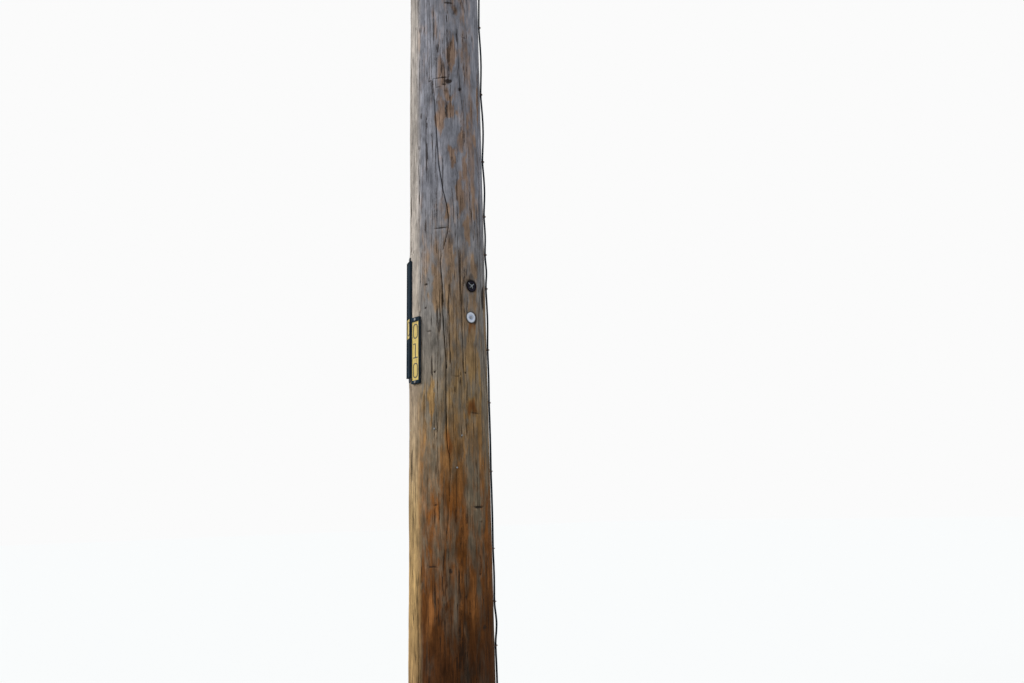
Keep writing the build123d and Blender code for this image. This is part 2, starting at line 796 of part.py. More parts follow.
neutral_tail = washer_face(neutral_height) + lug_thickness + seat_gap + bolt_tail
neutral_bolt_part = make_through_bolt(neutral_height, clevis_seat + clevis_thickness, neutral_tail)
neutral_washer_part = make_washer(neutral_height)
neutral_nut_part = make_nut(neutral_height, lug_seat + lug_thickness)
with BuildPart() as neutral_bolt:
    add(neutral_bolt_part)
with BuildPart() as neutral_bolt_washer:
    add(neutral_washer_part)
with BuildPart() as neutral_bolt_nut:
    add(neutral_nut_part)

# Ground wire lug: an eye on the neutral bolt and a barrel on the wire
with BuildPart() as ground_wire_lug:
    lug_plane = Plane(
        origin=(0, lug_seat, neutral_height),
        x_dir=(math.sin(lug_turn), 0, -math.cos(lug_turn)),
        z_dir=(0, 1, 0),
    )
    with BuildSketch(lug_plane):
        Circle(lug_eye_radius)
        with Locations((lug_barrel_start / 2 + lug_barrel_radius, 0)):
            Rectangle(lug_barrel_start + 2 * lug_barrel_radius, lug_tongue_width)
    extrude(amount=lug_thickness)
    with BuildSketch(Plane(origin=lug_point(lug_barrel_start), z_dir=lug_plane.x_dir)):
        Circle(lug_barrel_radius)
    extrude(amount=lug_barrel_length)
    with BuildSketch(Plane(origin=lug_point(lug_barrel_start), z_dir=lug_plane.x_dir)):
        Circle(wire_radius + drill_clearance)
    extrude(amount=lug_barrel_length, mode=Mode.SUBTRACT)
    with BuildSketch(lug_plane):
        Circle(bolt_hole_radius)
    extrude(amount=lug_thickness, mode=Mode.SUBTRACT)

# Strand clamp: two grooved plates, two clamp bolts and one bolt through the pole
back_plate_seat = seat_radius(strand_height, strand_plate_height / 2)
front_plate_seat = back_plate_seat + strand_plate_thickness + strand_plate_gap
strand_axis = back_plate_seat + strand_plate_thickness + strand_plate_gap / 2
clamp_bolt_places = [(-clamp_bolt_spacing / 2, strand_height), (clamp_bolt_spacing / 2, strand_height)]


def make_strand_plate(seat):
    """Grooved plate whose back is at y = -seat."""
    with BuildPart() as plate:
        with BuildSketch(Plane.XZ.offset(seat)):
            with Locations((0, strand_height)):
                RectangleRounded(strand_plate_length, strand_plate_height, strand_plate_corner)
                Circle(bolt_hole_radius, mode=Mode.SUBTRACT)
            with Locations(*clamp_bolt_places):
                Circle(clamp_bolt_radius + drill_clearance, mode=Mode.SUBTRACT)
        extrude(amount=strand_plate_thickness)
        with BuildSketch(Plane.YZ):
            with Locations((-strand_axis, strand_height + strand_groove_rise)):
                Circle(strand_groove_radius)
        extrude(amount=strand_plate_length, both=True, mode=Mode.SUBTRACT)
    return plate.part


def make_clamp_bolt(x_place):
    """Round-headed clamp bolt, its head behind the back plate."""
    bolt_end = front_plate_seat + strand_plate_thickness + seat_gap + clamp_nut_height + clamp_bolt_tail
    with BuildPart() as bolt:
        with BuildSketch(Plane.XZ.offset(back_plate_seat - seat_gap)):
            with Locations((x_place, strand_height)):
                Circle(clamp_bolt_radius)
        extrude(amount=bolt_end - back_plate_seat + seat_gap)
        with BuildSketch(Plane.XZ.offset(back_plate_seat - seat_gap - clamp_bolt_head_height)):
            with Locations((x_place, strand_height)):
                Circle(clamp_bolt_head_radius)
        extrude(amount=clamp_bolt_head_height)
    return bolt.part


def make_clamp_nut(x_place):
    """Square nut on the front of a clamp bolt."""
    with BuildPart() as nut:
        with BuildSketch(Plane.XZ.offset(front_plate_seat + strand_plate_thickness + seat_gap)):
            with Locations((x_place, strand_height)):
                Rectangle(clamp_nut_width, clamp_nut_width)
                Circle(clamp_bolt_radius + drill_clearance, mode=Mode.SUBTRACT)
        extrude(amount=clamp_nut_height)
    return nut.part


back_plate_part = make_strand_plate(back_plate_seat)
front_plate_part = make_strand_plate(front_plate_seat)
clamp_bolt_list = [make_clamp_bolt(x_place) for x_place, _ in clamp_bolt_places]
clamp_nut_list = [make_clamp_nut(x_place) for x_place, _ in clamp_bolt_places]
strand_bolt_part = make_through_bolt(
    strand_height,
    front_plate_seat + strand_plate_thickness,
    washer_face(strand_height) + bolt_tail,
)
strand_washer_part = make_washer(strand_height)
strand_nut_part = make_nut(strand_height, washer_face(strand_height))
with BuildPart() as strand_clamp_back_plate:
    add(back_plate_part)
with BuildPart() as strand_clamp_front_plate:
    add(front_plate_part)
with BuildPart() as strand_clamp_bolts:
    add(clamp_bolt_list)
with BuildPart() as strand_clamp_nuts:
    add(clamp_nut_list)
with BuildPart() as strand_through_bolt:
    add(strand_bolt_part)
with BuildPart() as strand_bolt_washer:
    add(strand_washer_part)
with BuildPart() as strand_bolt_nut:
    add(strand_nut_part)

# Drop hook: a bent rod driven into the street side, with a flange against the timber
hook_seat = seat_radius(hook_height, hook_flange_radius)
with BuildPart() as drop_hook:
    with BuildLine(Plane.YZ) as hook_route:
        FilletPolyline(
            (-(radius_at(hook_height) - hook_buried), hook_height),
            (-(hook_seat + hook_reach), hook_height),
            (-(hook_seat + hook_reach), hook_height + hook_rise),
            radius=hook_bend,
        )
    with BuildSketch(Plane(origin=hook_route.line @ 0, z_dir=hook_route.line % 0)):
        Circle(hook_radius)
    sweep(path=hook_route.line)
    with BuildSketch(Plane.XZ.offset(hook_seat)):
        with Locations((0, hook_height)):
            Circle(hook_flange_radius)
    extrude(amount=hook_flange_thickness)

finished = {
    "pole_shaft": pole_shaft,
    "ground_wire": ground_wire,
    "wire_staples_lower": wire_staples_lower,
    "wire_staples_upper": wire_staples_upper,
    "ground_wire_lug": ground_wire_lug,
    "long_tag_holder": long_tag_holder,
    "long_holder_number_tag": long_holder_number_tag,
    "long_holder_blank_tags": long_holder_blank_tags,
    "short_tag_holder": short_tag_holder,
    "number_tag_top": number_tag_top,
    "number_tag_middle": number_tag_middle,
    "number_tag_bottom": number_tag_bottom,
    "tag_digits": tag_digits,
    "tag_holder_nails": tag_holder_nails,
    "dark_inspection_disc": dark_inspection_disc,
    "bright_inspection_disc": bright_inspection_disc,
    "disc_nails": disc_nails,
    "old_nails": old_nails,
    "pole_top_pin": pole_top_pin,
    "pin_lead_thread": pin_lead_thread,
    "pin_insulator": pin_insulator,
    "pin_bolts": pin_bolts,
    "pin_bolt_washers": pin_bolt_washers,
    "pin_bolt_nuts": pin_bolt_nuts,
    "neutral_clevis": neutral_clevis,
    "neutral_spool": neutral_spool,
    "neutral_clevis_pin": neutral_clevis_pin,
    "neutral_cotter": neutral_cotter,
    "neutral_bolt": neutral_bolt,
    "neutral_bolt_washer": neutral_bolt_washer,
    "neutral_bolt_nut": neutral_bolt_nut,
    "strand_clamp_back_plate": strand_clamp_back_plate,
    "strand_clamp_front_plate": strand_clamp_front_plate,
    "strand_clamp_bolts": strand_clamp_bolts,
    "strand_clamp_nuts": strand_clamp_nuts,
    "strand_through_bolt": strand_through_bolt,
    "strand_bolt_washer": strand_bolt_washer,
    "strand_bolt_nut": strand_bolt_nut,
    "drop_hook": drop_hook,
}
os.makedirs("parts", exist_ok=True)
for name, piece in finished.items():
    piece.part.label = name
    export_step(piece.part, f"parts/{name}.step")
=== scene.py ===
"""Weathered timber utility pole: its surfaces, its seasoned timber and its studio.

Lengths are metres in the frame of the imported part: +Z runs up the pole from the ground line, X along
the line of conductors, and -Y is the street side. Azimuths are degrees from +X towards +Y.
"""

import json
import math

import bmesh
import bpy
from bpy.props import FloatProperty, FloatVectorProperty, PointerProperty
from bpy.types import Operator, Panel, PropertyGroup
from mathutils import Matrix, Vector, noise


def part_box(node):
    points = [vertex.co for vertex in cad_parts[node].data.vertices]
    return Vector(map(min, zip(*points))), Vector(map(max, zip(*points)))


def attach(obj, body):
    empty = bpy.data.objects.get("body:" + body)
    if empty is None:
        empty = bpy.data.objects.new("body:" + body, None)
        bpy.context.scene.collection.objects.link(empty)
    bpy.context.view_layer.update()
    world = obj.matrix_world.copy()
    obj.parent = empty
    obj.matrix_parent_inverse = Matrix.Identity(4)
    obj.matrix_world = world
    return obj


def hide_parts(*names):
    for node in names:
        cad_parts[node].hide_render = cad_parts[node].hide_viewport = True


bl_info = {
    "name": "Timber Utility Pole",
    "version": (1, 0, 0),
    "blender": (4, 5, 0),
    "location": "View3D > Sidebar > Pole",
    "description": "Seasoned timber, line fittings and a plain studio around a packed utility pole",
    "category": "Object",
}

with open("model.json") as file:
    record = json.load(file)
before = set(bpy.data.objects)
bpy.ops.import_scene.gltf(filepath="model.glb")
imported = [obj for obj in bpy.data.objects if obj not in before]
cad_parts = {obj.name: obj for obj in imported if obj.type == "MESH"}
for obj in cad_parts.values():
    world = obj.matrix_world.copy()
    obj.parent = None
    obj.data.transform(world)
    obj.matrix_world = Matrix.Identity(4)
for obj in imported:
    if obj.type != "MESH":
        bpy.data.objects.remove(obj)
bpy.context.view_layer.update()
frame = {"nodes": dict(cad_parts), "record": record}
TIMBER_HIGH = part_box("pole_shaft")[1]
MM = 0.001

# Radius of the timber by height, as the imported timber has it
TIMBER_PROFILE = [
    (0.0, TIMBER_HIGH.x),
    (0.45, 0.1325),
    (2.7, 0.1197),
    (TIMBER_HIGH.z, 0.096),
]

# Seasoning checks that follow one line of grain each: the rest azimuth, the line as (height, azimuth)
# and its open stretches as (low, high, width in mm, depth in mm)
CHECKS = [
    {
        "rest": -40.0,
        "line": [
            (0.80, -38.0), (1.065, -30.8), (1.11, -35.7), (1.17, -36.8), (1.256, -37.0), (1.38, -36.3),
            (1.45, -38.3), (1.53, -40.2), (1.63, -40.6), (1.70, -43.4), (1.808, -31.0), (1.853, -30.0),
            (1.894, -32.5), (1.95, -38.2), (2.03, -43.9), (2.10, -46.0), (2.23, -49.6), (2.31, -50.5),
            (2.36, -38.2), (2.448, -39.9), (2.7, -40.0),
        ],
        "open": [
            (0.86, 1.05, 1.6, 4.0), (1.06, 1.73, 5.6, 16.0), (1.74, 2.30, 5.4, 14.0), (2.35, 2.46, 2.2, 6.0),
        ],
    },
    {
        "rest": -10.0,
        "line": [
            (0.98, -8.6), (1.30, -10.0), (1.453, -11.6), (1.666, -14.0), (1.76, -15.0), (1.86, -3.0),
            (2.21, -3.0), (2.307, -8.2), (2.51, -11.7), (2.60, -12.0),
        ],
        "open": [(0.88, 1.09, 1.8, 4.0), (1.31, 1.75, 4.2, 11.0), (2.20, 2.53, 4.8, 13.0)],
    },
    {"rest": -81.0, "line": [(0.0, -80.6), (0.62, -82.0)], "open": [(0.06, 0.66, 4.8, 15.0)]},
    {
        "rest": 19.0,
        "line": [(0.90, 19.6), (1.20, 19.6), (3.1, 18.0), (4.5, 21.0)],
        "open": [(0.93, 1.12, 1.8, 4.0), (3.1, 4.5, 4.6, 14.0)],
    },
    {"rest": 62.0, "line": [(0.7, 64.0), (1.5, 60.5)], "open": [(0.70, 1.5, 4.4, 14.0)]},
    {"rest": 144.0, "line": [(1.25, 141.0), (2.5, 147.0)], "open": [(1.25, 2.5, 5.0, 16.0)]},
    {"rest": -126.0, "line": [(2.3, -128.0), (3.5, -124.0)], "open": [(2.3, 3.5, 5.0, 16.0)]},
    {"rest": -162.5, "line": [(4.1, -160.0), (5.6, -165.0)], "open": [(4.1, 5.6, 4.6, 14.0)]},
    {"rest": 119.5, "line": [(5.4, 118.0), (6.5, 121.0)], "open": [(5.4, 6.5, 4.6, 14.0)]},
]

# Places where the grey skin has worn off the tan wood: azimuth, height, half width and half height in mm
BARE_PATCHES = [
    (-16.6, 2.611, 10, 22), (-21.3, 2.442, 12, 75), (-40.4, 2.207, 14, 60), (-22.8, 2.227, 14, 45),
    (-28.5, 2.289, 16, 22), (7.5, 2.186, 10, 30), (18.0, 2.150, 11, 40), (-12.4, 2.110, 12, 38),
    (-3.0, 2.045, 12, 50), (-23.8, 2.061, 10, 42), (-11.5, 1.930, 9, 85), (15.5, 1.930, 10, 80),
    (-33.0, 1.861, 12, 42), (-0.2, 1.819, 10, 60), (-27.5, 1.700, 10, 90), (-48.2, 1.600, 22, 80),
    (-31.1, 1.590, 12, 75), (10.0, 1.705, 9, 45), (6.0, 1.570, 16, 45), (4.0, 1.470, 20, 50),
    (2.0, 1.390, 24, 75), (0.4, 1.233, 30, 34), (-33.4, 1.120, 14, 45), (-60.0, 1.250, 9, 90),
    (20.0, 1.300, 8, 110), (-95.0, 2.0, 9, 120), (34.0, 2.30, 10, 90), (42.0, 1.55, 8, 100),
]

# Reddish heartwood stains low on the timber, the same way
RED_STAINS = [
    (-52.8, 0.885, 9, 75), (-36.4, 0.842, 12, 45), (-13.6, 0.865, 14, 60), (19.2, 0.858, 10, 34),
    (-0.7, 0.650, 16, 70), (-33.4, 1.115, 9, 40), (3.0, 1.233, 22, 20), (4.0, 1.500, 12, 30),
    (-20.0, 0.70, 8, 60), (-62.0, 0.62, 12, 60), (30.0, 0.74, 9, 60),
]

# Share of the skin that is worn off between the bare patches, by height
WORN_BY_HEIGHT = [(0.0, 0.75), (0.6, 0.7), (1.0, 0.55), (1.5, 0.38), (2.1, 0.32), (7.4, 0.16)]

# Dark marks: azimuth, height, half width and half height in mm, strength, depth in mm
DARK_MARKS = [
    (-29.0, 2.333, 12, 8, 0.5, 1.0), (-27.4, 2.336, 9, 6, 0.95, 1.2), (-47.0, 2.346, 13, 2.2, 0.75, 0.6),
    (-35.0, 2.348, 14, 2.2, 0.75, 0.6), (-45.0, 2.315, 14, 2.2, 0.85, 0.9), (-35.0, 2.322, 8, 2.4, 0.8, 0.9),
    (-52.4, 2.330, 2.4, 13, 0.7, 0.6), (-57.5, 2.339, 7, 2.6, 0.7, 0.6), (-31.0, 2.298, 10, 6, 0.45, 0.3),
    (-27.0, 2.400, 16, 42, 0.34, 0.3), (20.0, 2.520, 7, 14, 0.5, 0.5), (12.3, 2.360, 9, 12, 0.4, 0.3),
    (-74.6, 2.220, 5, 12, 0.6, 0.6), (-76.0, 2.150, 4, 12, 0.5, 0.5), (-85.5, 2.070, 4, 7, 0.6, 0.6),
    (-107.0, 2.530, 4, 5, 0.6, 0.5), (-77.7, 2.540, 6, 9, 0.5, 0.5), (5.0, 1.655, 12, 14, 0.5, 0.0),
    (12.3, 0.883, 5, 4, 0.7, 1.0), (-41.5, 0.840, 12, 4, 0.4, 0.5), (-26.0, 2.628, 13, 5, 0.8, 1.2),
    (-18.0, 2.590, 5, 8, 0.6, 1.0), (-9.9, 2.310, 6, 6, 0.9, 2.0), (-23.7, 2.338, 5, 5, 0.8, 1.5),
    (1.2, 2.507, 12, 4, 0.6, 1.0), (-41.5, 1.817, 27, 2.2, 0.8, 1.2), (-66.1, 1.633, 10, 3, 0.7, 1.0),
    (-61.9, 1.648, 3, 5, 0.7, 1.0), (-67.2, 1.556, 4, 5, 0.9, 2.0), (-62.2, 1.478, 11, 2.5, 0.7, 1.0),
    (-53.2, 1.347, 3.4, 3.4, 1.0, 3.0), (-8.2, 1.342, 3.4, 3.4, 1.0, 3.0), (-35.3, 1.359, 3.0, 4.5, 1.0, 3.0),
    (-21.0, 1.331, 16, 2.2, 0.5, 0.8), (36.0, 1.600, 13, 34, 1.0, 2.5), (9.0, 1.217, 26, 2.6, 0.6, 1.0),
    (16.3, 1.019, 4, 16, 0.6, 1.0), (-53.0, 0.938, 9, 3, 0.6, 1.0), (10.8, 0.928, 23, 3.4, 0.95, 2.0),
    (16.6, 0.884, 4, 6, 0.8, 1.5), (-60.0, 0.756, 27, 2.2, 0.7, 1.0), (-34.0, 0.741, 5, 8, 0.7, 1.2),
    (9.7, 0.728, 7, 3, 0.5, 1.0), (-12.1, 0.664, 4, 6, 0.6, 1.0), (18.0, 0.573, 10, 8, 0.7, 1.0),
    # The last two marks, dark rings round the dark and the bright disc offset from their middles, are partly
    # grime and partly painted shadow of the discs on the timber
    (-79.9, 2.109, 6, 10, 0.6, 1.5), (5.2, 1.628, 20, 20, 0.9, 0.0), (5.6, 1.521, 19, 20, 0.9, 0.0),
]

# Knots: azimuth, height, radius in mm, how far they stand out in mm
KNOTS = [
    (-16.6, 2.611, 13, 1.6), (-9.9, 2.310, 8, 1.2), (-62.0, 2.20, 9, 1.4), (-23.8, 2.052, 8, 1.0),
    (-86.0, 2.36, 10, 2.2), (-88.0, 1.98, 9, 1.8), (-83.0, 2.115, 9, 2.2), (-80.0, 2.60, 7, 1.6),
    (-79.0, 1.52, 8, 1.6), (-82.0, 0.90, 9, 1.6), (-40.0, 2.69, 9, 1.2), (42.0, 2.42, 10, 1.6),
    (98.0, 0.94, 12, 2.0), (131.0, 2.05, 14, 2.2), (-148.0, 1.12, 13, 2.0), (176.0, 2.62, 12, 2.0),
    (-112.0, 3.4, 14, 2.2), (-35.0, 3.9, 14, 2.2), (70.0, 4.4, 13, 2.0), (160.0, 3.7, 14, 2.2),
    (-70.0, 5.2, 12, 2.0), (10.0, 5.7, 12, 2.0), (120.0, 4.9, 13, 2.0), (-150.0, 6.4, 12, 2.0),
    (40.0, 6.9, 11, 1.8), (-20.0, 6.5, 11, 1.8), (140.0, 7.1, 11, 1.8),
]

# How far in height from the middle of a patch, stain, mark or knot it may still show
PATCH_REACH, STAIN_REACH, MARK_REACH, KNOT_REACH = 0.25, 0.2, 0.07, 0.08

# The skin stays browner round this azimuth, with more grey skin to either side of it, which is partly painted
# sky light
BROWN_MIDDLE = -16.0

# Azimuth of a blunt ridge by height, and the flattened sides round the timber: the middle of each as a
# turn from the ridge, its half width, both in degrees, and its depth in mm
RIDGE = [
    (0.0, -76.0), (0.5, -79.0), (1.1, -77.0), (1.6, -75.0), (1.9, -72.5), (2.1, -74.0), (2.45, -77.0),
    (2.7, -78.0),
]
FLAT_SIDES = [
    (-22.0, 22.0, 3.4), (21.0, 20.0, 2.0), (105.0, 24.0, 1.8), (192.0, 28.0, 2.4), (-80.0, 26.0, 2.2),
]

# How strong the flattened sides are, by height
FLATNESS_BY_HEIGHT = [(0.4, 0.8), (0.8, 0.7), (1.4, 1.0), (2.7, 1.0), (3.6, 0.6)]

# What lies flat against the timber, which stays smooth under it: node, and how much wider the seat is in mm
SEATED_NODES = {
    "short_tag_holder": 3.0,
    "long_tag_holder": 3.0,
    "dark_inspection_disc": 2.0,
    "bright_inspection_disc": 2.0,
    "pole_top_pin": 6.0,
    "neutral_clevis": 6.0,
    "strand_clamp_back_plate": 6.0,
    "neutral_bolt_washer": 4.0,
    "strand_bolt_washer": 4.0,
}
WIRE_AZIMUTH = 54.8
WIRE_SEAT_HALF = 3.0

# How far beyond a seat and beside it the surface turns free again
SEAT_END_FADE = 0.02
SEAT_SIDE_FADE = 0.012

# Between these heights the mesh's rows are close, and between these azimuths its columns. The regular
# rows keep clear of the top and of the flat marks, which have rows of their own
CLOSE_ROWS_FROM, CLOSE_ROWS_TO = 0.3, 2.78
TOP_ROW_GAP = 0.02
MARK_ROW_GAP = 0.004
FLAT_MARK = 4
DENSE_FROM, DENSE_TO = -130.0, 64.0

# Turn in degrees from the middle of a check to the columns on its lips
CHECK_LIP = 1.1

# The sawn top: its chamfer, and the mesh's rings on it as shares of the way in
TOP_CHAMFER = 5 * MM
RING_SHARES = (0.0, 0.12, 0.26, 0.4, 0.55, 0.7, 0.85, 1.0)

# What the mesh tells the wood's material, for each vertex
LAYERS = ("bare", "check", "dark", "red")

# Colours of the wood over its lowest 3 m: the grey skin, the tan wood where the skin is worn off, and the
# side towards the sun, which is painted lighter, partly sun bleaching and partly painted sunlight
TONED_HEIGHT = 3.0
# Skin and tan darken towards the ground, partly darker weathered wood and partly painted shade near the
# ground; the skin's blue-grey higher up is partly painted sky light
SKIN_TONES = [
    (0.0, "#3b322a"), (0.16, "#55483c"), (0.23, "#6c5f50"), (0.31, "#7a6d5a"), (0.43, "#7d7365"),
    (0.53, "#84817f"), (0.66, "#878891"), (1.0, "#8a8b94"),
]
TAN_TONES = [
    (0.0, "#33200f"), (0.16, "#482a14"), (0.23, "#633c1b"), (0.31, "#7c4c22"), (0.43, "#94774f"),
    (0.55, "#8f7862"), (0.67, "#907868"),
]
SUNLIT_AND_BLEACHED_TONES = [
    (0.0, "#8a6e54"), (0.16, "#a18359"), (0.23, "#b19263"), (0.31, "#a98e65"), (0.43, "#9f8e7a"),
    (0.58, "#b5aca3"), (0.68, "#aba39c"), (1.0, "#a8a19b"),
]
SUNNY_SIDE = (-0.94, -0.342, 0.0)

# Discs, and where the black is scraped off the dark one: how far the slivers' middle stands off the
# timber, and the far end of each scrape from the nail, in mm
DISC_RADIUS = 19 * MM
SCRAPE_STAND_OFF = 1.75 * MM
SCRAPES = [(-11.0, 9.6), (10.0, 8.0), (6.0, -6.4), (-6.4, -5.6)]

FLOOR_HALF = 40.0
LAMP_DISTANCE = 12.0
WARM_WHITE, COOL_WHITE = (1.0, 0.985, 0.96), (0.95, 0.975, 1.0)


class TimberSettings(PropertyGroup):
    """Sizes of the timber's surface and mesh."""

    crown: FloatProperty(name="Crown", description="Most it stands out", default=1.9 * MM, unit="LENGTH")
    swell_depth: FloatProperty(name="Swell", description="Long waves", default=2.6 * MM, unit="LENGTH")
    flute_depth: FloatProperty(name="Fluting", description="Grain ridges", default=1.5 * MM, unit="LENGTH")
    lump_depth: FloatProperty(name="Lumps", description="Small hollows", default=0.9 * MM, unit="LENGTH")
    skin_thickness: FloatProperty(name="Skin", description="Grey skin", default=0.8 * MM, unit="LENGTH")
    close_row: FloatProperty(name="Close row", description="At eye level", default=8 * MM, unit="LENGTH")
    wide_row: FloatProperty(name="Wide row", description="Higher up", default=36 * MM, unit="LENGTH")
    close_step: FloatProperty(name="Close step", description="Degrees between close columns", default=1.45)
    wide_step: FloatProperty(name="Wide step", description="Degrees between wide columns", default=3.4)


class StudioSettings(PropertyGroup):
    """Light, backdrop and camera."""

    key_strength: FloatProperty(name="Key", description="Soft key lamp", default=2.3)
    key_azimuth: FloatProperty(name="Key azimuth", description="In degrees", default=-108.0)
    key_elevation: FloatProperty(name="Elevation", description="Of both lamps, in degrees", default=33.0)
    key_softness: FloatProperty(name="Key softness", description="Apparent width in degrees", default=40.0)
    side_strength: FloatProperty(name="Side", description="Broad side lamp", default=0.6)
    side_azimuth: FloatProperty(name="Side azimuth", description="In degrees", default=20.0)
    side_softness: FloatProperty(name="Side softness", description="Apparent width in degrees", default=80.0)
    fill_strength: FloatProperty(name="Fill", description="Even fill light", default=0.72)
    fill_colour: FloatVectorProperty(name="Fill colour", subtype="COLOR", default=COOL_WHITE)
    camera_distance: FloatProperty(name="Distance", description="From the axis", default=2.72, unit="LENGTH")
    camera_height: FloatProperty(name="Height", description="Above ground", default=0.9165, unit="LENGTH")
    camera_azimuth: FloatProperty(name="Camera azimuth", description="In degrees", default=-33.2)
    camera_yaw: FloatProperty(name="Camera yaw", description="Degrees right of the pole", default=4.45)
    camera_tilt: FloatProperty(name="Camera tilt", description="Degrees upwards", default=11.34)
    camera_roll: FloatProperty(name="Camera roll", description="Degrees about its own axis", default=-1.56)
    camera_lens: FloatProperty(name="Lens", description="In mm on a 36 mm sensor", default=29.53)


def paint(code, alpha=1.0):
    """Linear colour from an sRGB hex code."""
    shares = [int(code[i : i + 2], 16) / 255 for i in (1, 3, 5)]
    linear = [s / 12.92 if s <= 0.04045 else ((s + 0.055) / 1.055) ** 2.4 for s in shares]
    return (*linear, alpha)


def set_inputs(tree, made, inputs):
    """Links a node's inputs to sockets, or gives them plain values."""
    for name, value in inputs.items():
        if isinstance(value, bpy.types.NodeSocket):
            tree.links.new(value, made.inputs[name])
        else:
            made.inputs[name].default_value = value


def add_node(tree, kind, inputs=None, stops=None, **settings):
    """Adds a node with its settings, its linked or plain inputs, and the stops of its ramp."""
    made = tree.nodes.new(kind)
    for name, value in settings.items():
        setattr(made, name, value)
    set_inputs(tree, made, inputs or {})
    if stops:
        elements = made.color_ramp.elements
        while len(elements) < len(stops):
            elements.new(0.5)
        for element, (position, code) in zip(elements, stops):
            element.position = position
            element.color = paint(code)
    return made


def blank_material(name):
    """A new material, its node tree, its surface shader and the place on the object."""
    material = bpy.data.materials.new(name)
    material.use_nodes = True
    tree = material.node_tree
    tree.nodes.clear()
    surface = tree.nodes.new("ShaderNodeBsdfPrincipled")
    output = tree.nodes.new("ShaderNodeOutputMaterial")
    tree.links.new(surface.outputs["BSDF"], output.inputs["Surface"])
    return material, tree, surface, add_node(tree, "ShaderNodeTexCoord").outputs["Object"]


def grained_material(name, pattern, stops, constants, stretch=None):
    """A material whose colour follows one noise, with its tree, its surface and that noise."""
    material, tree, surface, place = blank_material(name)
    if stretch:
        place = add_node(tree, "ShaderNodeMapping", {"Vector": place, "Scale": stretch}).outputs["Vector"]
    grain = add_node(tree, "ShaderNodeTexNoise", {"Vector": place, **pattern}).outputs["Fac"]
    colour = add_node(tree, "ShaderNodeValToRGB", {"Fac": grain}, stops=stops).outputs["Color"]
    set_inputs(tree, surface, {"Base Color": colour, **constants})
    return material, tree, surface, grain


def object_from(bm, name):
    """An object in the scene that holds a finished bmesh."""
    mesh = bpy.data.meshes.new(name)
    bm.to_mesh(mesh)
    bm.free()
    made = bpy.data.objects.new(name, mesh)
    bpy.context.scene.collection.objects.link(made)
    return made


def towards(azimuth, elevation=0.0):
    """Unit vector to an azimuth and an elevation in degrees."""
    turn, rise = math.radians(azimuth), math.radians(elevation)
    return Vector((math.cos(turn) * math.cos(rise), math.sin(turn) * math.cos(rise), math.sin(rise)))


def grain_noise(point, across, along, shift=0.0):
    """Noise at a place on the timber, with its fineness across the grain and along it."""
    return noise.noise(Vector((point.x * across + shift, point.y * across, point.z * along)))


def radius_at(height):
    """Radius of the timber at a height."""
    for (low, low_radius), (high, high_radius) in zip(TIMBER_PROFILE, TIMBER_PROFILE[1:]):
        if height <= high:
            break
    return low_radius + (high_radius - low_radius) * (height - low) / (high - low)


def line_value(line, at):
    """Value of a polyline of (place, value) at a place, level beyond its ends."""
    if at <= line[0][0]:
        return line[0][1]
    for (low, low_value), (high, high_value) in zip(line, line[1:]):
        if at <= high:
            return low_value + (high_value - low_value) * (at - low) / (high - low)
    return line[-1][1]


def turn_between(first, second):
    """Signed turn from the first azimuth to the second, between -180 and 180."""
    return (second - first + 180.0) % 360.0 - 180.0


def arc_between(first, second, height):
    """Signed way round the timber between two azimuths at a height, in metres."""
    return math.radians(turn_between(first, second)) * radius_at(height)


def smooth_step(low, high, value):
    """Smooth rise from 0 at low to 1 at high."""
    share = min(1.0, max(0.0, (value - low) / (high - low)))
    return share * share * (3 - 2 * share)


def wander(point, across, along):
    """Ragged shift of a place on the timber, in degrees and metres, so that no patch is a plain oval."""
    wide = Vector((point.x * 48, point.y * 48, point.z * 15))
    close = Vector((point.x * 130, point.y * 130, point.z * 45))
    aside = noise.noise(wide) + 0.6 * noise.noise(close)
    upward = noise.noise(wide + Vector((9.0, 4.0, 2.0))) + 0.5 * noise.noise(close + Vector((3.0, 8.0, 5.0)))
    return math.degrees(across * MM * aside / radius_at(point.z)), along * MM * upward


def spot_share(spot_azimuth, spot_height, half_width, half_height, azimuth, height):
    """Squared distance from a spot, in its own half sizes, which are millimetres."""
    across = arc_between(spot_azimuth, azimuth, height) / MM / half_width
    along = (height - spot_height) / MM / half_height
    return across * across + along * along


def nearby(spots, reach, height):
    """The spots whose middles lie within reach of a height, in metres."""
    return [spot for spot in spots if abs(height - spot[1]) < reach]


def patch_cover(patches, heart, azimuth, height):
    """How far patches cover a place: 1 in the heart of one, 0 outside all."""
    shares = (smooth_step(1.9, heart, spot_share(*spot, azimuth, height)) for spot in patches)
    return max(shares, default=0.0)


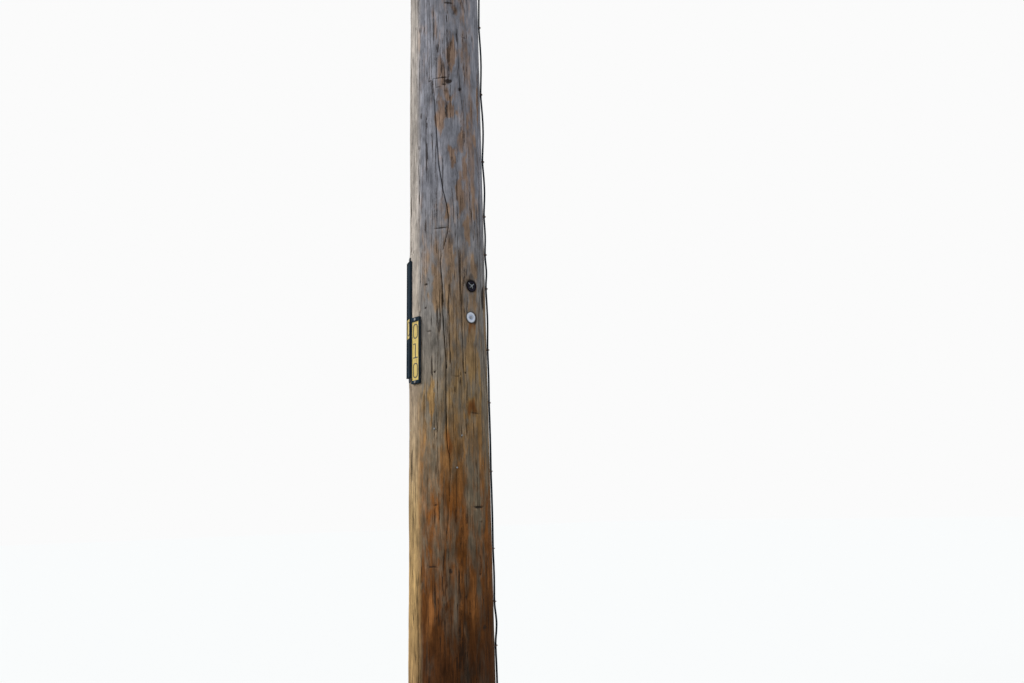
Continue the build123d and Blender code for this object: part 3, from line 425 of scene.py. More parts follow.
class TimberSurface:
    """Where the timber's surface lies and what covers it, by azimuth and height."""

    def __init__(self, settings):
        self.settings = settings
        self.seats = []
        for name, margin in SEATED_NODES.items():
            low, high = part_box(name)
            middle = (low + high) / 2
            azimuth = math.degrees(math.atan2(middle.y, middle.x))
            # Half the width across the pole, seen along its azimuth
            out = towards(azimuth)
            half = (abs(out.y) * (high.x - low.x) + abs(out.x) * (high.y - low.y)) / 2 + margin * MM
            self.seats.append((azimuth, half, low.z - margin * MM, high.z + margin * MM))

    def freedom(self, azimuth, height):
        """0 where a fitting lies on the timber, 1 where the surface is free."""
        across = abs(arc_between(WIRE_AZIMUTH, azimuth, height)) / MM
        free = smooth_step(WIRE_SEAT_HALF, 4 * WIRE_SEAT_HALF, across)
        for seat_azimuth, half, low, high in self.seats:
            start, end = low - SEAT_END_FADE, high + SEAT_END_FADE
            if start < height < end:
                across = abs(arc_between(seat_azimuth, azimuth, height))
                beside = smooth_step(half, half + SEAT_SIDE_FADE, across)
                beyond = 1 - smooth_step(start, low, height) * (1 - smooth_step(high, end, height))
                free = min(free, max(beside, beyond))
        return free

    def bareness(self, point, azimuth, height):
        """How far the grey skin is off: 0 covered, 1 bare."""
        aside, upward = wander(point, 13, 42)
        patches = nearby(BARE_PATCHES, PATCH_REACH, height)
        bare = patch_cover(patches, 0.2, azimuth + aside, height + upward)
        wide = grain_noise(point, 15, 2.6, shift=5) + 0.4 * grain_noise(point, 45, 6.0)
        ground = line_value(WORN_BY_HEIGHT, height)
        # Away from the street side's browner middle, beyond 24 to 42 degrees and above 1.1 to 1.6 m, more
        # grey skin stays, partly painted sky light
        aside = abs(turn_between(BROWN_MIDDLE, azimuth))
        ground -= 0.2 * smooth_step(24.0, 42.0, aside) * smooth_step(1.1, 1.6, height)
        return min(1.0, max(0.92 * bare, ground + 0.45 * wide, 0.0))

    def marks(self, point, azimuth, height):
        """Darkness and depth in metres of the marks at a place."""
        aside, upward = wander(point, 3.0, 3.0)
        dark, depth = 0.0, 0.0
        for *spot, strength, deep in nearby(DARK_MARKS, MARK_REACH, height):
            drift = min(1.0, spot[3] / 6.0)
            place = (azimuth + drift * aside, height + drift * upward)
            cover = smooth_step(2.3, 0.2, spot_share(*spot, *place))
            dark = max(dark, strength * cover)
            depth = max(depth, deep * MM * cover)
        return dark, depth

    def redness(self, point, azimuth, height):
        """Strength of the reddish stains at a place."""
        aside, upward = wander(point, 9, 30)
        stains = nearby(RED_STAINS, STAIN_REACH, height)
        return patch_cover(stains, 0.1, azimuth + aside, height + upward)

    def knot(self, point, azimuth, height):
        """How far a knot stands out in metres, and how dark its ring is."""
        aside, upward = wander(point, 5, 7)
        place = (azimuth + aside, height + upward)
        out, dark = 0.0, 0.0
        for spot_azimuth, spot_height, radius, high in nearby(KNOTS, KNOT_REACH, height):
            share = math.sqrt(spot_share(spot_azimuth, spot_height, radius, 1.3 * radius, *place))
            out += high * MM * math.exp(-2.0 * share * share)
            dark = max(dark, 0.4 * math.exp(-7.0 * (share - 0.7) ** 2))
        return out, dark

    def depth(self, point, azimuth, height, bare, knot_out, mark_depth):
        """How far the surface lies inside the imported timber, in metres."""
        settings = self.settings
        slow = 0.5 + 0.7 * grain_noise(point, 9, 3.2)
        ridge = 0.5 + 0.6 * grain_noise(point, 60, 4.5)
        fine = 0.5 + 0.5 * grain_noise(point, 210, 8.0)
        lump = 0.5 + 0.6 * grain_noise(point, 95, 26, shift=3)
        lost = settings.swell_depth * slow + settings.flute_depth * (0.65 * ridge + 0.35 * fine)
        lost += settings.lump_depth * lump
        ridge_azimuth = line_value(RIDGE, height) + 3.2 * noise.noise(Vector((0, 0, height * 9)))
        ridge_azimuth += 2.4 * noise.noise(Vector((0, 4, height * 34)))
        flatness = line_value(FLATNESS_BY_HEIGHT, height)
        for middle, half, deep in FLAT_SIDES:
            share = turn_between(ridge_azimuth + middle, azimuth) / half
            lost += flatness * deep * MM * max(0.0, 1 - share * share) ** 1.5
        crown = settings.crown * smooth_step(0.0, 0.22, height)
        lost += settings.skin_thickness * bare + mark_depth - crown
        return (lost - knot_out) * self.freedom(azimuth, height)


def open_check(check, height):
    """Width and depth in metres of a check at a height."""
    for low, high, width, depth in check["open"]:
        if low < height < high:
            share = (height - low) / (high - low)
            taper = min(1.0, (4 * share * (1 - share)) ** 0.5 * 1.25)
            ragged = 0.75 + 0.5 * noise.noise(Vector((height * 23, check["rest"], 0.0)))
            return width * MM * taper * ragged, depth * MM * taper
    return 0.0, 0.0


def column_azimuths(settings):
    """Azimuths of the mesh's columns at rest, with three columns for each check."""
    columns = []
    azimuth = DENSE_FROM
    while azimuth < DENSE_FROM + 360.0 - 0.5 * settings.wide_step:
        columns.append((azimuth, None, 0))
        azimuth += settings.close_step if azimuth < DENSE_TO else settings.wide_step
    gap = 2.4 * CHECK_LIP
    for check in CHECKS:
        rest = (check["rest"] + 180.0) % 360.0 - 180.0
        columns = [c for c in columns if c[1] is not None or abs(turn_between(c[0], check["rest"])) > gap]
        columns += [(rest + side * CHECK_LIP, check, side) for side in (-1, 0, 1)]
    return sorted(columns, key=lambda c: (c[0] - DENSE_FROM) % 360.0)


def place_column(column, height, shifts):
    """Azimuth of a column at a height: the columns between two checks shift with them."""
    azimuth, check, side = column
    if check is not None:
        width, depth = open_check(check, height)
        half = math.degrees(max(0.5 * width, 0.5 * MM) / radius_at(height))
        return check["rest"] + shifts[check["rest"]] + side * half, 0.0 if side else depth
    before = max(CHECKS, key=lambda c: -((azimuth - c["rest"]) % 360.0))["rest"]
    after = max(CHECKS, key=lambda c: -((c["rest"] - azimuth) % 360.0))["rest"]
    span = (after - before) % 360.0
    share = ((azimuth - before) % 360.0) / span
    return azimuth + (1 - share) * shifts[before] + share * shifts[after], 0.0


def row_heights(settings):
    """Heights of the mesh's rows, closer at eye level and at each mark."""
    heights = [0.0]
    while heights[-1] < TIMBER_HIGH.z:
        close = CLOSE_ROWS_FROM < heights[-1] < CLOSE_ROWS_TO
        heights.append(heights[-1] + (settings.close_row if close else settings.wide_row))
    heights = [h for h in heights if h < TIMBER_HIGH.z - TOP_ROW_GAP]
    for _, middle, _, half, _, _ in DARK_MARKS:
        low, high = middle - 0.8 * half * MM, middle + 0.8 * half * MM
        if half < FLAT_MARK:
            heights = [h for h in heights if h == 0.0 or abs(h - middle) > MARK_ROW_GAP + half * MM]
            heights += [low - 2 * MM, low, high, high + 2 * MM]
    return sorted(set(heights))


def build_timber(settings):
    """The seasoned timber as one closed mesh: checks, fluting, knots and worn skin."""
    surface = TimberSurface(settings)
    columns = column_azimuths(settings)
    top = TIMBER_HIGH.z
    # Each row is a height, and how far in from the timber's surface it lies
    rows = [(0.0, 1.0)] + [(h, 0.0) for h in row_heights(settings)] + [(top - TOP_CHAMFER, 0.0)]
    rows += [(top, share) for share in RING_SHARES]
    bm = bmesh.new()
    layers = [bm.verts.layers.float.new(name) for name in LAYERS]
    across, up = len(columns), len(rows) - 1
    bmesh.ops.create_grid(bm, x_segments=across, y_segments=up, size=1.0)
    by_row = {}
    for vert in bm.verts:
        by_row.setdefault(round((vert.co.y + 1) / 2 * up), []).append(vert)
    for row, verts in by_row.items():
        height, inset = rows[row]
        shifts = {c["rest"]: turn_between(c["rest"], line_value(c["line"], height)) for c in CHECKS}
        capped = row == 0 or height == top
        for vert in verts:
            column = columns[round((vert.co.x + 1) / 2 * across) % across]
            azimuth, check_depth = place_column(column, height, shifts)
            out = towards(azimuth)
            point = out * radius_at(height) + Vector((0, 0, height))
            bare = surface.bareness(point, azimuth, height)
            dark, mark_depth = surface.marks(point, azimuth, height)
            knot_out, knot_dark = surface.knot(point, azimuth, height)
            depth = surface.depth(point, azimuth, height, bare, knot_out, mark_depth) + check_depth
            reach = radius_at(height) - depth
            if capped:
                reach = (reach - (TOP_CHAMFER if row else 0.0)) * (1 - inset)
            vert.co = out * reach + Vector((0, 0, height))
            opened = 1.0 if check_depth > 0.5 * MM else 0.0
            red = surface.redness(point, azimuth, height)
            for layer, value in zip(layers, (bare, opened, max(dark, knot_dark), red)):
                vert[layer] = value
    bmesh.ops.remove_doubles(bm, verts=bm.verts, dist=0.02 * MM)
    bmesh.ops.recalc_face_normals(bm, faces=bm.faces)
    for face in bm.faces:
        face.smooth = True
        face.material_index = 1 if abs(face.normal.z) > 0.9 else 0
    return object_from(bm, "pole_timber")


def weathered_pine():
    """Preservative-treated pine, seasoned outdoors: a silver-grey skin that has worn off tan wood in ragged
    patches, warmer and darker towards the ground, partly with painted shade near the ground, and lighter on
    the side towards the sun, partly sun bleaching and partly painted sunlight, with fibres and hairline
    checks up the grain."""
    material, tree, surface, place = blank_material("weathered_pine")
    height = add_node(tree, "ShaderNodeSeparateXYZ", {"Vector": place}).outputs["Z"]
    lowest = {"Value": height, "From Min": 0.0, "From Max": TONED_HEIGHT}
    level = add_node(tree, "ShaderNodeMapRange", lowest).outputs["Result"]
    bare, check, dark, red = (
        add_node(tree, "ShaderNodeAttribute", attribute_name=name).outputs["Fac"] for name in LAYERS
    )

    # Grain runs up the pole, so every pattern is drawn out along Z: streaks 18 mm, fibres 4 mm, scales
    # 25 mm, blotches 30 mm and flakes 11 mm wide
    short_grain, long_grain, mottled, flat = (
        add_node(tree, "ShaderNodeMapping", {"Vector": place, "Scale": (1, 1, share)}).outputs["Vector"]
        for share in (0.22, 0.075, 0.45, 0)
    )
    patterns = (
        {"Vector": short_grain, "Scale": 55.0, "Detail": 4.0, "Roughness": 0.6, "Distortion": 0.4},
        {"Vector": long_grain, "Scale": 250.0, "Detail": 2.0, "Roughness": 0.55},
        {"Vector": short_grain, "Scale": 40.0, "Detail": 6.0, "Roughness": 0.66, "Distortion": 0.5},
        {"Vector": mottled, "Scale": 32.0, "Detail": 7.0, "Roughness": 0.68},
        {"Vector": mottled, "Scale": 90.0, "Detail": 3.0, "Distortion": 0.6},
    )
    streak, fibre, scale, blotch, flake = (
        add_node(tree, "ShaderNodeTexNoise", pattern).outputs["Fac"] for pattern in patterns
    )
    skin, tan, lit_and_bleached = (
        add_node(tree, "ShaderNodeValToRGB", {"Fac": level}, stops=stops).outputs["Color"]
        for stops in (SKIN_TONES, TAN_TONES, SUNLIT_AND_BLEACHED_TONES)
    )

    # The edge of the worn skin is more ragged than the mesh could hold
    ragged = bare
    for pattern, weight in ((scale, 1.7), (streak, 1.1)):
        blend = {0: pattern, 1: weight, 2: ragged}
        ragged = add_node(tree, "ShaderNodeMath", blend, operation="MULTIPLY_ADD").outputs["Value"]
    edge = {"Value": ragged, "From Min": 1.56, "From Max": 2.28}
    cover = add_node(tree, "ShaderNodeMapRange", edge, interpolation_type="SMOOTHSTEP").outputs["Result"]
    red_share = add_node(tree, "ShaderNodeMath", {0: red, 1: cover}, operation="MULTIPLY").outputs["Value"]

    # The side that faces azimuth -160 is painted lighter: partly sun bleaching, partly painted sunlight
    outward = add_node(tree, "ShaderNodeVectorMath", {0: flat}, operation="NORMALIZE").outputs["Vector"]
    sides = {0: outward, 1: SUNNY_SIDE}
    facing = add_node(tree, "ShaderNodeVectorMath", sides, operation="DOT_PRODUCT").outputs["Value"]
    edge = {"Value": facing, "From Min": 0.06, "From Max": 0.3}
    sunny = add_node(tree, "ShaderNodeMapRange", edge).outputs["Result"]

    # Tan wood lies over the skin's colour, reddish heartwood over that, then the lighter sunward side with
    # its painted sunlight
    colour = skin
    for share, over in ((cover, tan), (red_share, paint("#81532c")), (sunny, lit_and_bleached)):
        blend = {0: share, 6: colour, 7: over}
        colour = add_node(tree, "ShaderNodeMix", blend, data_type="RGBA").outputs[2]

    # Streaks lead near the ground, blotches higher up: darkest and lightest tone low down, then above
    tones = (
        (streak, (0.52, 1.48), (0.74, 1.26)),
        (blotch, (0.6, 1.42), (0.56, 1.46)),
        (fibre, (0.8, 1.2), (0.87, 1.13)),
    )
    for pattern, low_tones, high_tones in tones:
        spread = {"Value": pattern, "From Min": 0.3, "From Max": 0.7}
        for limit, below, above in zip(("To Min", "To Max"), low_tones, high_tones):
            rise = {"Value": level, "From Min": 0.24, "From Max": 0.5, "To Min": below, "To Max": above}
            spread[limit] = add_node(tree, "ShaderNodeMapRange", rise).outputs["Result"]
        tone = add_node(tree, "ShaderNodeMapRange", spread).outputs["Result"]
        blend = {0: 1.0, 6: colour, 7: tone}
        colour = add_node(tree, "ShaderNodeMix", blend, data_type="RGBA", blend_type="MULTIPLY").outputs[2]

    # Hairline checks follow level lines of a noise drawn out far, about 1.5 mm wide so that they show, and
    # break off where a shorter pattern is low
    families = []
    for start, breaks in (((0, 0, 0), scale), ((0.4, 0.2, 0.7), blotch), ((0.1, 0.7, 0.3), streak)):
        drawn_out = {"Vector": place, "Location": start, "Scale": (1, 1, 0.02)}
        drawn = add_node(tree, "ShaderNodeMapping", drawn_out).outputs["Vector"]
        pattern = {"Vector": drawn, "Scale": 42.0, "Detail": 2.0, "Roughness": 0.45, "Distortion": 0.12}
        hairline = add_node(tree, "ShaderNodeTexNoise", pattern).outputs["Fac"]
        line = {0: hairline, 1: 0.5, 2: 0.011}
        near = add_node(tree, "ShaderNodeMath", line, operation="COMPARE").outputs["Value"]
        edge = {"Value": breaks, "From Min": 0.47, "From Max": 0.57, "To Max": 0.8}
        broken = add_node(tree, "ShaderNodeMapRange", edge).outputs["Result"]
        shown = {0: broken, 1: near}
        families.append(add_node(tree, "ShaderNodeMath", shown, operation="MULTIPLY").outputs["Value"])
    hair = families[0]
    for family in families[1:]:
        hair = add_node(tree, "ShaderNodeMath", {0: hair, 1: family}, operation="MAXIMUM").outputs["Value"]

    # The dark marks have ragged edges too
    blend = {0: scale, 1: 0.9, 2: dark}
    blurred = add_node(tree, "ShaderNodeMath", blend, operation="MULTIPLY_ADD").outputs["Value"]
    edge = {"Value": blurred, "From Min": 0.72, "From Max": 1.15, "To Max": 0.9}
    dark_share = add_node(tree, "ShaderNodeMapRange", edge).outputs["Result"]
    # The open checks are filled near black, which is painted shade inside the grooves that the mesh also cuts
    for share, code in ((hair, "#241b15"), (dark_share, "#2a211c"), (check, "#120d0a")):
        blend = {0: share, 6: colour, 7: paint(code)}
        colour = add_node(tree, "ShaderNodeMix", blend, data_type="RGBA").outputs[2]

    relief = streak
    for pattern, weight in ((fibre, 0.5), (scale, 0.9), (flake, 0.8), (hair, -1.0), (cover, -0.4)):
        blend = {0: pattern, 1: weight, 2: relief}
        relief = add_node(tree, "ShaderNodeMath", blend, operation="MULTIPLY_ADD").outputs["Value"]
    bump = add_node(tree, "ShaderNodeBump", {"Height": relief, "Strength": 0.8, "Distance": 2.2 * MM})
    constants = {"Roughness": 0.9, "Specular IOR Level": 0.08}
    set_inputs(tree, surface, {"Base Color": colour, "Normal": bump.outputs["Normal"], **constants})
    return material


def end_grain():
    """The sawn top of the pine: growth rings about 4 mm apart, greyed and split from the heart."""
    material, tree, surface, place = blank_material("pine_end_grain")
    flat = add_node(tree, "ShaderNodeMapping", {"Vector": place, "Scale": (1, 1, 0)}).outputs["Vector"]
    pattern = {"Vector": flat, "Scale": 80.0, "Distortion": 2.2, "Detail": 3.0, "Detail Scale": 0.4}
    kinds = {"wave_type": "RINGS", "rings_direction": "Z"}
    rings = add_node(tree, "ShaderNodeTexWave", pattern, **kinds).outputs["Fac"]
    stops = [(0.0, "#4d463d"), (0.55, "#7d766b"), (1.0, "#8f887c")]
    colour = add_node(tree, "ShaderNodeValToRGB", {"Fac": rings}, stops=stops).outputs["Color"]
    bump = add_node(tree, "ShaderNodeBump", {"Height": rings, "Strength": 0.5, "Distance": 0.8 * MM})
    set_inputs(tree, surface, {"Base Color": colour, "Normal": bump.outputs["Normal"], "Roughness": 0.92})
    return material


def chalked_and_sky_tinted_black(name, pattern, stops, shine, dullness):
    """Black plastic chalked by the sun, with a blue-grey cast that is partly painted sky reflection, duller
    where it is paler.
    """
    material, tree, surface, chalk = grained_material(name, pattern, stops, {"Specular IOR Level": shine})
    spread = {"Value": chalk, "From Min": 0.3, "From Max": 0.7, "To Min": dullness[0], "To Max": dullness[1]}
    rough = add_node(tree, "ShaderNodeMapRange", spread).outputs["Result"]
    set_inputs(tree, surface, {"Roughness": rough})
    return material


def wire_cover():
    """Black wire covering, extruded and chalked by the sun until it hardly shines, its blue tint partly
    painted sky light.
    """
    pattern = {"Scale": 60.0, "Detail": 4.0}
    stops = [(0.3, "#1a1f27"), (0.75, "#29313c")]
    return chalked_and_sky_tinted_black("black_wire_cover", pattern, stops, 0.06, (0.75, 0.95))


def galvanised_steel():
    """Hot-dip galvanised steel, weathered: spangles about 12 mm wide gone to a dull grey, with grime."""
    material, tree, surface, place = blank_material("dull_galvanised_steel")
    cells = {"Vector": place, "Scale": 85.0}
    spangle = add_node(tree, "ShaderNodeTexVoronoi", cells, feature="F1").outputs["Color"]
    shade = add_node(tree, "ShaderNodeSeparateXYZ", {"Vector": spangle}).outputs["X"]
    stops = [(0.0, "#6b6f73"), (1.0, "#878b90")]
    bright = add_node(tree, "ShaderNodeValToRGB", {"Fac": shade}, stops=stops).outputs["Color"]
    pattern = {"Vector": place, "Scale": 28.0, "Detail": 6.0, "Roughness": 0.6}
    grime = add_node(tree, "ShaderNodeTexNoise", pattern).outputs["Fac"]
    edge = {"Value": grime, "From Min": 0.46, "From Max": 0.72, "To Max": 0.7}
    grimy = add_node(tree, "ShaderNodeMapRange", edge).outputs["Result"]
    blend = {0: grimy, 6: bright, 7: paint("#524d46")}
    colour = add_node(tree, "ShaderNodeMix", blend, data_type="RGBA").outputs[2]
    spread = {"Value": grime, "From Min": 0.3, "From Max": 0.7, "To Min": 0.42, "To Max": 0.68}
    rough = add_node(tree, "ShaderNodeMapRange", spread).outputs["Result"]
    bump = add_node(tree, "ShaderNodeBump", {"Height": grime, "Strength": 0.2, "Distance": 0.3 * MM})
    links = {"Base Color": colour, "Roughness": rough, "Normal": bump.outputs["Normal"]}
    set_inputs(tree, surface, {**links, "Metallic": 0.75})
    return material


def rusty_steel():
    """Plain steel wire left outdoors: brown rust with a few darker pits about a millimetre wide."""
    pattern = {"Scale": 420.0, "Detail": 5.0, "Roughness": 0.7}
    stops = [(0.3, "#2a1c15"), (0.5, "#4a2f20"), (0.72, "#6e452b")]
    constants = {"Metallic": 0.25, "Roughness": 0.78}
    material, tree, surface, pits = grained_material("rusty_steel", pattern, stops, constants)
    bump = add_node(tree, "ShaderNodeBump", {"Height": pits, "Strength": 0.4, "Distance": 0.3 * MM})
    set_inputs(tree, surface, {"Normal": bump.outputs["Normal"]})
    return material


def holder_plastic():
    """Moulded black plastic, even and dull, chalked a little blue-grey by the sun, the blue partly painted
    sky reflection.
    """
    pattern = {"Scale": 34.0, "Detail": 5.0, "Roughness": 0.6}
    stops = [(0.3, "#1c262e"), (0.7, "#2b3844")]
    return chalked_and_sky_tinted_black("black_holder_plastic", pattern, stops, 0.02, (0.7, 0.88))


def yellow_paint():
    """Baked yellow enamel on thin aluminium: even, faded, with grime in faint upright runs."""
    pattern = {"Scale": 120.0, "Detail": 5.0, "Roughness": 0.62}
    stops = [(0.28, "#a98e45"), (0.5, "#cbb25d"), (0.8, "#d6c077")]
    return grained_material("yellow_tag_paint", pattern, stops, {"Roughness": 0.45}, stretch=(1, 1, 0.2))[0]


def figure_paint():
    """Black enamel figures, slightly greyed."""
    pattern = {"Scale": 200.0, "Detail": 4.0}
    stops = [(0.3, "#191a1c"), (0.75, "#323234")]
    return grained_material("black_figure_paint", pattern, stops, {"Roughness": 0.5})[0]


def disc_middle(name):
    """Middle of a disc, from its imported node."""
    low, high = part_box(name)
    return (low + high) / 2


def disc_material(name, node, pattern, unevenness, stops, constants):
    """A material whose colour runs out from a disc's middle to its rim, made uneven by a noise."""
    material, tree, surface, place = blank_material(name)
    ends = {0: place, 1: disc_middle(node)}
    out = add_node(tree, "ShaderNodeVectorMath", ends, operation="DISTANCE").outputs["Value"]
    ratio = {0: out, 1: DISC_RADIUS}
    share = add_node(tree, "ShaderNodeMath", ratio, operation="DIVIDE").outputs["Value"]
    wear = add_node(tree, "ShaderNodeTexNoise", {"Vector": place, **pattern}).outputs["Fac"]
    blend = {0: wear, 1: unevenness, 2: share}
    uneven = add_node(tree, "ShaderNodeMath", blend, operation="MULTIPLY_ADD").outputs["Value"]
    colour = add_node(tree, "ShaderNodeValToRGB", {"Fac": uneven}, stops=stops).outputs["Color"]
    set_inputs(tree, surface, {"Base Color": colour, **constants})
    return material


def bright_aluminium():
    """Stamped aluminium disc: pale and dulled by weather, with a painted blue-grey sky reflection in its dish
    and a black rim that is partly grime and partly painted shadow.
    """
    pattern = {"Scale": 150.0, "Detail": 5.0, "Roughness": 0.6}
    # The low blue-grey stops are painted sky reflection in the dish; the last black stop is the rim, partly
    # grime and partly painted shadow
    stops = [(0.2, "#7f8ba6"), (0.45, "#a3afc8"), (0.7, "#cfd6e4"), (0.89, "#bcc3d0"), (0.97, "#2c2b2b")]
    constants = {"Metallic": 0.15, "Roughness": 0.4}
    return disc_material("bright_disc_aluminium", "bright_inspection_disc", pattern, 0.12, stops, constants)


def dark_disc_metal():
    """Disc blackened with age, violet where the black is thin near its rim, scraped grey in the middle."""
    pattern = {"Scale": 180.0, "Detail": 5.0, "Roughness": 0.65}
    stops = [(0.3, "#5d6166"), (0.48, "#121317"), (0.74, "#131318"), (0.9, "#2c2739"), (0.98, "#0c0c0f")]
    constants = {"Roughness": 0.6, "Specular IOR Level": 0.05}
    return disc_material("dark_disc_metal", "dark_inspection_disc", pattern, 0.3, stops, constants)


def brown_porcelain():
    """Glazed porcelain: a glossy brown glaze over a pale body, thin on the edges, with faint runs."""
    pattern = {"Scale": 22.0, "Detail": 4.0}
    stops = [(0.3, "#2f150b"), (0.6, "#4c2413"), (0.85, "#6a3a22")]
    constants = {"Roughness": 0.12, "IOR": 1.5, "Coat Weight": 0.6, "Coat Roughness": 0.06}
    return grained_material("brown_porcelain", pattern, stops, constants)[0]


def cast_lead():
    """Cast lead thread: a soft dull grey."""
    pattern = {"Scale": 90.0, "Detail": 4.0}
    stops = [(0.3, "#5c5d60"), (0.7, "#7f8083")]
    return grained_material("grey_lead", pattern, stops, {"Metallic": 0.8, "Roughness": 0.6})[0]


def bronze():
    """Cast bronze lug, browned outdoors with green in its hollows."""
    pattern = {"Scale": 110.0, "Detail": 5.0}
    stops = [(0.3, "#4f6a58"), (0.5, "#6b4a2b"), (0.75, "#8c6438")]
    return grained_material("bronze_lug", pattern, stops, {"Metallic": 0.8, "Roughness": 0.5})[0]


def scraped_metal():
    """Bare zinc where the black has been scraped off: pale, dull and streaky."""
    pattern = {"Scale": 500.0, "Detail": 4.0}
    stops = [(0.35, "#555b62"), (0.65, "#868c93")]
    return grained_material("scraped_metal", pattern, stops, {"Metallic": 0.2, "Roughness": 0.5})[0]


FINISHES = {
    "weathered_wood": weathered_pine,
    "black_wire_cover": wire_cover,
    "dull_galvanised_steel": galvanised_steel,
    "rusty_steel": rusty_steel,
    "black_holder_plastic": holder_plastic,
    "yellow_tag_paint": yellow_paint,
    "black_figure_paint": figure_paint,
    "bright_disc_aluminium": bright_aluminium,
    "dark_disc_metal": dark_disc_metal,
    "brown_porcelain": brown_porcelain,
    "grey_lead": cast_lead,
    "bronze_lug": bronze,
}
finished_materials = {}


def finish_of(slot_name):
    """The material of a slot, made once."""
    if slot_name not in finished_materials:
        finished_materials[slot_name] = FINISHES[slot_name]()
    return finished_materials[slot_name]


def finish_nodes(*names):
    """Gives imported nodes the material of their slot."""
    slots = {entry["node"]: entry["material_slot"] for entry in frame["record"]["subparts"]}
    for name in names:
        node = frame["nodes"][name]
        node.data.materials.clear()
        node.data.materials.append(finish_of(slots[name]))


class POLE_OT_timber(Operator):
    """Builds the seasoned timber in place of the plain shaft"""

    bl_idname = "pole.timber"
    bl_label = "Timber"

    def execute(self, context):
        timber = build_timber(context.scene.pole_timber)
        timber.data.materials.append(finish_of("weathered_wood"))
        timber.data.materials.append(end_grain())
        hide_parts("pole_shaft")
        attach(timber, "root")
        return {"FINISHED"}


class POLE_OT_ground_wire(Operator):
    """Finishes the ground wire, its staples and its lug"""

    bl_idname = "pole.ground_wire"
    bl_label = "Ground wire"

    def execute(self, context):
        finish_nodes("ground_wire", "wire_staples_lower", "wire_staples_upper", "ground_wire_lug")
        return {"FINISHED"}


class POLE_OT_number_tags(Operator):
    """Finishes the tag holders, the tags, their figures and their nails"""

    bl_idname = "pole.number_tags"
    bl_label = "Number tags"

    def execute(self, context):
        finish_nodes(
            "long_tag_holder", "long_holder_number_tag", "long_holder_blank_tags", "short_tag_holder",
            "number_tag_top", "number_tag_middle", "number_tag_bottom", "tag_digits", "tag_holder_nails",
        )
        return {"FINISHED"}


def build_scrapes():
    """Bare metal where a blade has crossed the dark disc: tapered slivers on its face."""
    middle = disc_middle("dark_inspection_disc")
    out = Vector((middle.x, middle.y, 0.0)).normalized()
    beside = Vector((-out.y, out.x, 0.0))
    face = (radius_at(middle.z) + SCRAPE_STAND_OFF) * out + Vector((0, 0, middle.z))
    bm = bmesh.new()
    for across, along in SCRAPES:
        length = math.hypot(across, along) * MM
        sliver = bmesh.ops.create_cube(bm, size=1.0)["verts"]
        for vert in sliver:
            share = vert.co.x + 0.5
            vert.co = Vector((share * length, vert.co.y * (1.7 + 1.9 * share) * MM, vert.co.z * 0.35 * MM))
        turn = Matrix((beside, Vector((0, 0, 1)), out)).transposed()
        spun = turn @ Matrix.Rotation(math.atan2(along, across), 3, "Z")
        bmesh.ops.transform(bm, matrix=Matrix.Translation(face) @ spun.to_4x4(), verts=sliver)
    rounding = {"offset": 0.1 * MM, "offset_type": "OFFSET", "segments": 2, "profile": 0.5}
    bmesh.ops.bevel(bm, geom=bm.edges[:], affect="EDGES", material=-1, **rounding)
    bmesh.ops.recalc_face_normals(bm, faces=bm.faces)
    return object_from(bm, "disc_scrapes")


class POLE_OT_inspection_discs(Operator):
    """Finishes the inspection discs and the old nails"""

    bl_idname = "pole.inspection_discs"
    bl_label = "Inspection discs"

    def execute(self, context):
        finish_nodes("dark_inspection_disc", "bright_inspection_disc", "disc_nails", "old_nails")
        scrapes = build_scrapes()
        scrapes.data.materials.append(scraped_metal())
        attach(scrapes, "root")
        return {"FINISHED"}


class POLE_OT_line_fittings(Operator):
    """Finishes the pole top pin, the insulators, the clevis, the strand clamp and the hook"""

    bl_idname = "pole.line_fittings"
    bl_label = "Line fittings"

    def execute(self, context):
        finish_nodes(
            "pole_top_pin", "pin_lead_thread", "pin_insulator", "pin_bolts", "pin_bolt_washers",
            "pin_bolt_nuts", "neutral_clevis", "neutral_spool", "neutral_clevis_pin", "neutral_cotter",
            "neutral_bolt", "neutral_bolt_washer", "neutral_bolt_nut", "strand_clamp_back_plate",
            "strand_clamp_front_plate", "strand_clamp_bolts", "strand_clamp_nuts", "strand_through_bolt",
            "strand_bolt_washer", "strand_bolt_nut", "drop_hook",
        )
        return {"FINISHED"}


def part_rays(tree, output_kind, lighting, seen):
    """Shows one shader to the camera, mirrors and glass, and lights the object by the other."""
    rays = add_node(tree, "ShaderNodeLightPath").outputs
    share = rays["Is Camera Ray"]
    for kind in ("Is Glossy Ray", "Is Transmission Ray"):
        either = {0: share, 1: rays[kind]}
        share = add_node(tree, "ShaderNodeMath", either, operation="MAXIMUM").outputs["Value"]
    mixed = add_node(tree, "ShaderNodeMixShader", {0: share, 1: lighting.outputs[0], 2: seen.outputs[0]})
    output = add_node(tree, output_kind)
    tree.links.new(mixed.outputs[0], output.inputs["Surface"])


def pale_floor():
    """Pale studio floor: it keeps the object's shadow, and sends only a little light back up."""
    material = bpy.data.materials.new("pale_studio_floor")
    material.use_nodes = True
    tree = material.node_tree
    tree.nodes.clear()
    glow = add_node(tree, "ShaderNodeEmission", {"Color": paint("#f2f2f0"), "Strength": 0.795})
    lit = add_node(tree, "ShaderNodeBsdfDiffuse", {"Color": paint("#7f8285")})
    pale = add_node(tree, "ShaderNodeAddShader", {0: glow.outputs[0], 1: lit.outputs[0]})
    dull = add_node(tree, "ShaderNodeBsdfDiffuse", {"Color": paint("#666661")})
    part_rays(tree, "ShaderNodeOutputMaterial", dull, pale)
    return material


def build_floor():
    """Level floor at the ground line."""
    bm = bmesh.new()
    bmesh.ops.create_grid(bm, x_segments=1, y_segments=1, size=FLOOR_HALF)
    floor = object_from(bm, "studio_floor")
    floor.data.materials.append(pale_floor())


